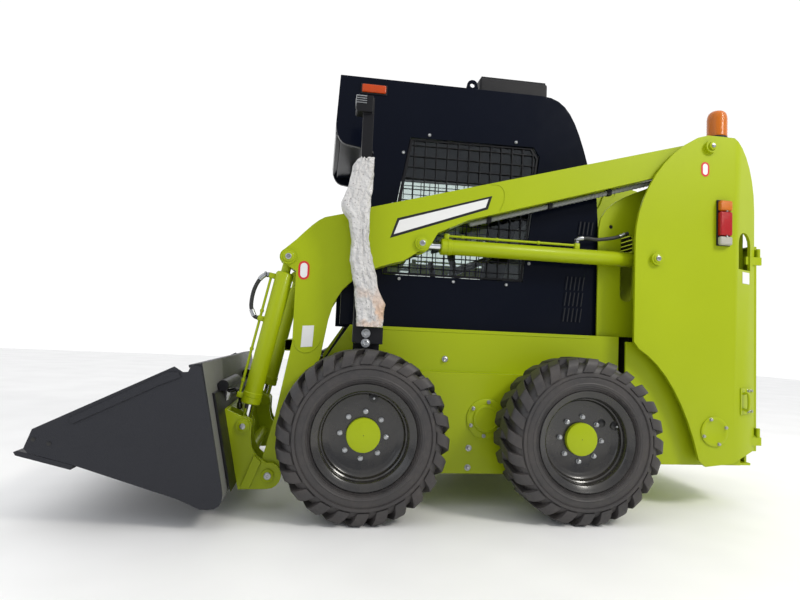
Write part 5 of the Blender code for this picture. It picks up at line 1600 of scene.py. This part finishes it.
@dataclass
class Interior:
    """The seat, the hand levers on their consoles and the restraint bar."""

    half: float = 0.220

    def pad(self, name: str, node: str, outline: Sequence[Point], push: float) -> Object:
        """A padded cushion blown up a little inside its cover.

        Args:
            name: the new object's name.
            node: the CAD node that it stands for.
            outline: its section as (x, z).
            push: pressure of the filling.

        Returns:
            The cushion.
        """
        shape = plate(name, outline, -self.half + 0.004, self.half - 0.004, 0.014)
        activate(shape)
        remesh = shape.modifiers.new("even faces", "REMESH")
        remesh.mode, remesh.voxel_size = "VOXEL", 0.0070
        bpy.ops.object.modifier_apply(modifier=remesh.name)
        tight = [v.co.copy() for v in shape.data.vertices]
        cloth = shape.modifiers.new("cover", "CLOTH")
        cloth.settings.use_pressure = True
        cloth.settings.uniform_pressure_force = push
        cloth.settings.effector_weights.gravity = 0
        cloth.settings.quality = 4
        cloth.point_cache.frame_start, cloth.point_cache.frame_end = 1, 12
        for number in range(1, 13):
            bpy.context.scene.frame_set(number)
        activate(shape)
        bpy.ops.object.modifier_apply(modifier=cloth.name)
        bpy.context.scene.frame_set(1)
        for vertex, before in zip(shape.data.vertices, tight):
            move = vertex.co - before
            if move.length > 0.0035:
                vertex.co = before + move.normalized() * 0.0035
        bpy.ops.object.shade_smooth()
        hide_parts(node)
        return dress(shape, VINYL)

    def seams(self) -> Object:
        """Raised welts across the seat and up its back.

        Returns:
            The welts.
        """
        runs = []
        for x in (0.60, 0.75):
            runs.append(tube("welt", [place(x, y, 1.1080) for y in (-0.17, -0.08, 0.0, 0.08, 0.17)], 0.0030,
                             2))
        for z in (1.22, 1.36, 1.48):
            x = 0.998 + (z - 1.060) * 0.194 - 0.088
            runs.append(tube("welt", [place(x, y, z) for y in (-0.17, 0.0, 0.17)], 0.0030, 2))
        return dress(fuse("seat_welts", runs), VINYL)

    def bar(self) -> Object:
        """The restraint bar with its foam grips.

        Returns:
            The bar.
        """
        half = [(0.985, 0.3905, 1.420), (0.985, 0.345, 1.420), (0.955, 0.330, 1.410), (0.680, 0.325, 1.285),
                (0.622, 0.305, 1.262),
                (0.597, 0.260, 1.255), (0.590, 0.200, 1.253)]
        route = [place(x, -y, z) for x, y, z in half] + [place(x, y, z) for x, y, z in half[::-1]]
        steel = dress(tube("steel", route, 0.0138, 4), GLOSS_BLACK)
        grips = []
        for side in Side:
            line = [place(0.900, side.out(0.3294), 1.3850), place(0.700, side.out(0.3254), 1.2941)]
            grips.append(dress(tube("grip", line, 0.0165, 4), FOAM))
        grips.append(dress(tube("grip", [place(0.590, -0.17, 1.253), place(0.590, 0.17, 1.253)], 0.0185, 4),
                           FOAM))
        bar = fuse("restraint_bar_skin", [steel, *grips])
        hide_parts("restraint_bar")
        return bar

    def station(self) -> list[Object]:
        """The consoles with levers, grips, switches and pedals.

        Returns:
            The pieces.
        """
        base = dress(skin("operator_station", "station_skin", 0.0040), PLASTIC)
        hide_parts("operator_station")
        made = [base]
        for side in Side:
            foot, head = place(0.520, side.out(0.295), 1.1305), place(0.480, side.out(0.280), 1.290)
            way = (head - foot).normalized()
            bellows = turned("bellows_" + side.tag, [(0, 0), (0.036, 0), (0.032, 0.008), (0.034, 0.014),
                                                     (0.027, 0.022), (0.029, 0.028),
                                                     (0.021, 0.038), (0.0135, 0.050), (0, 0.050)], foot, way,
                             28)
            grip = turned("hand_grip_" + side.tag, [(0, 0.082), (0.014, 0.082), (0.018, 0.092),
                                                    (0.016, 0.110), (0.019, 0.128),
                                                    (0.0175, 0.146), (0.020, 0.156), (0.012, 0.170),
                                                    (0, 0.172)], foot, way, 28)
            made += [dress(bellows, FOAM), dress(grip, PLASTIC)]
            pads = [block("switch", place(0.62 + 0.05 * k, side.out(0.295) - 0.011, 1.1305),
                          place(0.645 + 0.05 * k, side.out(0.295) + 0.011, 1.1385), 0.003) for k in range(4)]
            made.append(dress(fuse("switches_" + side.tag, pads), RED if side is Side.RIGHT else SATIN_BLACK))
        return made

    def build(self) -> None:
        """Model the inside of the cab."""
        cushion = self.pad("seat_cushion_skin", "seat_cushion",
                           [(0.485, 1.004), (0.925, 1.004), (0.925, 1.104), (0.520, 1.106), (0.485, 1.080)],
                           4.0)
        back = self.pad("seat_back_skin", "seat_back", [(0.910, 1.112), (0.996, 1.070), (1.088, 1.552),
                                                        (1.022, 1.582)], 4.0)
        settle_on("machine", cushion, back, self.seams(), *self.station())
        settle_on("restraint", self.bar())


@dataclass
class ChassisFrame:
    """The chaincase, its covers and bolts, the engine block and the cross tube."""

    panel: float = 0.530
    upper: float = 0.490

    def covers(self, side: Side) -> list[Object]:
        """The flanged axle cover and loose bolts on one side.

        Args:
            side: the side of the machine.

        Returns:
            The pieces.
        """
        tag, out = side.tag, Vector((0, side.value, 0))
        centre = place(0.634, side.out(self.panel + 0.0006), 0.441)
        flange = turned("axle_cover_" + tag, [(0, 0), (0.100, 0), (0.100, 0.006), (0.097, 0.008),
                                              (0.0700, 0.008), (0.0660, 0.015),
                                              (0.0580, 0.017), (0.0560, 0.013), (0, 0.013)], centre, out, 56)
        spots = [(centre + Vector((0.085 * cos(a), 0, 0.085 * sin(a))) + out * 0.008, out)
                 for a in [0.4 + k * pi / 3 for k in range(6)]]
        made = [dress(flange, LIME), bolts("cover_ring_bolts_" + tag, spots, STEEL,
                                           HexBolt(0.014, 0.008, 0.010))]
        spots = [(place(x, side.out(face + 0.0004), z), out) for x, z, face in
                 ((0.421, 0.732, self.upper), (0.550, 0.294, self.panel), (0.548, 0.198, self.panel))]
        made.append(bolts("panel_bolts_" + tag, spots, STEEL, HexBolt(0.020, 0.010, 0.016)))
        seam = tube("seam", [place(x, side.out(self.upper + 0.0002), 0.8700) for x in (0.02, 0.4, 0.8, 1.2)],
                    0.0022, 2)
        made.append(dress(seam, LIME))
        seam.name = "panel_weld_" + tag
        return made

    def build(self) -> None:
        """Model the frame."""
        body = dress(skin("lower_frame", "frame_skin", 0.0040), LIME)
        engine = dress(skin("engine", "engine_skin", 0.0080, 3), IRON)
        beam = dress(skin("arm_cross_beam", "cross_beam_skin", 0.0040, 3), LIME)
        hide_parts("lower_frame")
        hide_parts("engine")
        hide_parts("arm_cross_beam")
        settle_on("machine", body, engine, *[piece for side in Side for piece in self.covers(side)])
        settle_on("lift_arm", beam)


@dataclass
class RearCovers:
    """The rear door and the engine hood."""

    def build(self) -> None:
        """Model both covers with their handles and vents."""
        door = dress(skin("rear_door", "rear_door_skin", 0.0040), LIME)
        hood = dress(skin("engine_hood", "engine_hood_skin", 0.0030), SATIN_BLACK)
        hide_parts("rear_door")
        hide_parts("engine_hood")
        face = 2.2005
        latch = block("latch", place(face, 0.375, 0.780), place(face + 0.012, 0.420, 0.900), 0.004)
        paddle = block("paddle", place(face + 0.010, 0.385, 0.800), place(face + 0.022, 0.410, 0.880), 0.004)
        handle = dress(fuse("door_handle", [latch, paddle]), SATIN_BLACK)
        mesh = [block("wire", place(2.196, -0.36, z), place(2.1975, 0.36, z + 0.002), 0) for z in
                [0.80 + 0.018 * k for k in range(26)]]
        grille = dress(fuse("door_grille_wires", mesh), SATIN_BLACK)
        settle_on("rear_door", door, handle, grille)
        settle_on("engine_hood", hood)


@dataclass
class LampPost:
    """A lamp post wrapped in packing film, with its bracket and work lamp."""

    side: Side
    rings: tuple[tuple[float, float, float], ...] = (
        (0.8755, -0.060, 0.079), (0.980, -0.065, 0.087), (1.060, -0.069, 0.052), (1.190, -0.098, 0.019),
        (1.290, -0.093, -0.006), (1.390, -0.112, -0.005), (1.425, -0.148, -0.005), (1.465, -0.151, -0.006),
        (1.530, -0.125, 0.002), (1.655, -0.102, 0.005), (1.680, -0.080, 0.004))

    def film(self) -> Object:
        """The crinkled wrap.

        Returns:
            The wrap.
        """
        rng = random.Random(SEED + self.side.value)
        around, levels = 56, 74
        rest_selection()
        bpy.ops.mesh.primitive_grid_add(x_subdivisions=around, y_subdivisions=levels, size=1)
        wrap = named("film_wrap_" + self.side.tag)
        low, high = self.rings[0][0], self.rings[-1][0]
        seed = Vector((rng.random() * 9, rng.random() * 9, rng.random() * 9))
        for index, vertex in enumerate(wrap.data.vertices):
            column, row = index % (around + 1), index // (around + 1)
            z = low + (high - low) * row / levels
            k = max(i for i in range(len(self.rings) - 1) if self.rings[i][0] <= z + 1e-9)
            a, b = self.rings[k], self.rings[k + 1]
            t = (z - a[0]) / (b[0] - a[0])
            left, right = a[1] + (b[1] - a[1]) * t, a[2] + (b[2] - a[2]) * t
            angle = 2 * pi * (column % around) / around
            c, s = cos(angle), sin(angle)
            squared = (abs(c) ** 5 + abs(s) ** 5) ** (-0.2)
            fold = Vector((c * 2.2, s * 2.2, z * 5.0)) + seed
            crease = abs(noise.noise(fold * 1.3)) * 0.013 + abs(noise.noise(fold * 3.1)) * 0.010
            crease += abs(noise.noise(Vector((c * 3 + z * 7, s * 3, z * 14)) + seed)) * 0.004
            half_x, half_y = (right - left) / 2 - 0.0005 - crease, 0.0608 - crease * 0.8
            torn = 0.0 if row < levels else 0.030 * noise.noise(fold * 2.0)
            vertex.co = place((left + right) / 2 + half_x * c * squared,
                              self.side.out(0.6435 + half_y * s * squared),
                              min(z + torn, high - 0.0005) if row else z)
        tidy_mesh(wrap, 1e-6)
        activate(wrap)
        wall = wrap.modifiers.new("film thickness", "SOLIDIFY")
        wall.thickness, wall.offset = 0.0012, -1
        bpy.ops.object.modifier_apply(modifier=wall.name)
        bpy.ops.object.shade_smooth_by_angle(angle=radians(28))
        return dress(wrap, FILM)

    def lamp(self) -> list[Object]:
        """The work lamp's body, fins and lens.

        Returns:
            The pieces.
        """
        tag = self.side.tag
        y0, y1 = self.side.between(0.602, 0.680)
        fins = [block("fin", place(-0.1025, y0 - 0.0025, 1.944 + 0.011 * k),
                      place(-0.050, y1 + 0.0025, 1.950 + 0.011 * k), 0.002, 1)
                for k in range(4)]
        body = dress(block("body", place(-0.096, y0 + 0.004, 1.9065), place(-0.030, y1 - 0.004, 1.9830),
                           0.006), PLASTIC)
        case = fuse("work_lamp_" + tag, [body, *[dress(fin, STEEL) for fin in fins]])
        lens = dress(block("work_lens_" + tag, place(-0.0998, y0 + 0.008, 1.913),
                           place(-0.095, y1 - 0.008, 1.977), 0.003), CLEAR_LENS)
        return [case, lens]

    def build(self) -> None:
        """Model the post."""
        tag = self.side.tag
        post = dress(skin("lamp_post_" + tag, "post_skin_" + tag, 0.0030), SATIN_BLACK)
        film = self.film()
        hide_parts("lamp_post_" + tag)
        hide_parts("post_wrap_" + tag)
        out = Vector((0, self.side.value, 0))
        spots = [(place(x, self.side.out(0.6604), z), out) for x, z in ((-0.002, 0.8445), (-0.002, 0.7985))]
        big = bolts("post_bolts_" + tag, spots, STEEL, HexBolt(0.026, 0.012, 0.0215))
        settle_on("machine", post, film, big, *self.lamp())


@dataclass
class Beacon:
    """The flashing beacon on the left upright."""

    centre: tuple[float, float, float] = (1.900, -0.535, 1.990)

    def build(self) -> None:
        """Model the beacon."""
        foot = place(*self.centre) + Vector((0, 0, 0.0005))
        up = Vector((0, 0, 1))
        base = turned("base", [(0, 0), (0.0535, 0), (0.0535, 0.010), (0.0520, 0.014), (0.0490, 0.018),
                               (0, 0.018)],
                      foot, up, 48)
        wall = [(0.0505 + 0.0012 * (k % 2), 0.018 + 0.0075 * k) for k in range(15)]
        dome = turned("dome", [(0, 0.016), (0.0480, 0.016), *wall, (0.0495, 0.134), (0.0440, 0.150),
                               (0.0330, 0.1605),
                               (0.0180, 0.1660), (0, 0.1672)], foot, up, 48)
        dress(base, PLASTIC)
        dress(dome, AMBER)
        lamp = fuse("beacon_skin", [base, dome])
        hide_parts("beacon")
        settle_on("machine", lamp)


# ------------------------------------------------------------------ studio
@dataclass(frozen=True)
class Studio:
    """The pale floor, the soft lights and the camera."""

    eye: tuple[float, float, float] = (-0.2184 - 0.404, -3.3250, 0.8335)
    yaw: float = 7.94
    pitch: float = 3.754
    roll: float = 2.487
    lens: float = 25.425

    def camera(self) -> None:
        """Place the camera and make it the scene's."""
        data = bpy.data.cameras.new("camera")
        data.lens, data.sensor_width, data.clip_start = self.lens, 36.0, 0.05
        view = bpy.data.objects.new("camera", data)
        bpy.context.scene.collection.objects.link(view)
        yaw, pitch, roll = radians(self.yaw), radians(self.pitch), radians(self.roll)
        right = Vector((cos(yaw), -sin(yaw), 0))
        ahead = Vector((sin(yaw), cos(yaw), 0)) * cos(pitch) + Vector((0, 0, sin(pitch)))
        up = Vector((0, 0, cos(pitch))) - Vector((sin(yaw), cos(yaw), 0)) * sin(pitch)
        across, above = right * cos(roll) + up * sin(roll), up * cos(roll) - right * sin(roll)
        turn = Matrix((across, above, -ahead)).transposed().to_4x4()
        view.matrix_world = Matrix.Translation(self.eye) @ turn
        bpy.context.scene.camera = view

    def lamp(self, name: str, at: tuple[float, float, float], size: float, power: float,
             tint: tuple[float, float, float]) -> None:
        """One area light that looks at the machine.

        Args:
            name: its name.
            at: where it is.
            size: side of the light.
            power: watts.
            tint: its colour.
        """
        data = bpy.data.lights.new(name, "AREA")
        data.size, data.energy, data.color = size, power, tint
        light = bpy.data.objects.new(name, data)
        bpy.context.scene.collection.objects.link(light)
        way = Vector((0.0, 0.0, 0.9)) - Vector(at)
        light.matrix_world = Matrix.Translation(at) @ way.to_track_quat("-Z", "Y").to_matrix().to_4x4()

    def world(self) -> None:
        """A pale surround."""
        world = bpy.data.worlds.new("studio")
        world.use_nodes = True
        w = Wiring(world.node_tree)
        shade = world.node_tree.nodes["Background"]
        across = w.add("SeparateXYZ", Vector=w.add("TexCoord").outputs["Generated"])
        behind = w.ramp(across.outputs["Y"], -0.55, 0.10)
        above = w.ramp(across.outputs["Z"], 0.30, 0.95)
        sky = w.mix(w.maths("MAXIMUM", behind, above), (0.42, 0.44, 0.48, 1), (1.0, 1.0, 1.0, 1))
        w.feed(shade.inputs["Color"], sky)
        shade.inputs["Strength"].default_value = 1.05
        bpy.context.scene.world = world

    def build(self) -> None:
        """Set up floor, lights, world and camera."""
        rest_selection()
        bpy.ops.mesh.primitive_plane_add(size=30, location=(0, 0, 0))
        floor = named("studio_floor")
        dress(floor, Finish("studio floor", (0.93, 0.93, 0.93), rough=0.55, dust=0.0, grain=0.0))
        self.world()
        bpy.context.scene.view_settings.view_transform = "Standard"
        self.lamp("key", (3.8, -4.0, 4.8), 1.4, 190.0, (1.0, 0.97, 0.90))
        self.lamp("fill", (-4.2, -3.8, 2.8), 3.5, 30.0, (0.90, 0.95, 1.0))
        self.camera()


def main() -> None:
    """Build every sub-assembly, then the studio."""
    logging.basicConfig(level=logging.INFO, format="%(message)s")
    groups: list[tuple[str, Callable[[], None]]] = [("frame", ChassisFrame().build), ("cab", Cab().build),
                                                    ("interior", Interior().build),
                                                    ("covers", RearCovers().build),
                                                    ("bucket", Bucket().build), ("beacon", Beacon().build)]
    for side in Side:
        groups += [("upright " + side.tag, Tower(side).build), ("arm " + side.tag, LiftArm(side).build),
                   ("lamp post " + side.tag, LampPost(side).build)]
        groups.append(("lift cylinder " + side.tag, Cylinder("lift", side, (1.507, 1.300), (0.265, 1.305),
                                                             0.039, 0.020,
                                                             (0.085, 1.137), (0.400, 1.107)).build))
        groups.append(("tilt cylinder " + side.tag, Cylinder("tilt", side, (-0.385, 1.198), (-0.549, 0.390),
                                                             0.043, 0.0225,
                                                             (0.075, 0.728), (0.105, 0.320, 0.698)).build))
        for x, letter, valve in ((0.0, "f", ((0.172, -1.34),)),
                                 (1.038, "r", ((0.131, -0.62), (0.180, -0.375)))):
            groups.append(("wheel " + letter + side.tag, Wheel(letter + side.tag, x, side, valve).build))
    for label, build in groups:
        build()
        LOG.info("built %s", label)
    Studio().build()


if __name__ == "__main__":
    main()
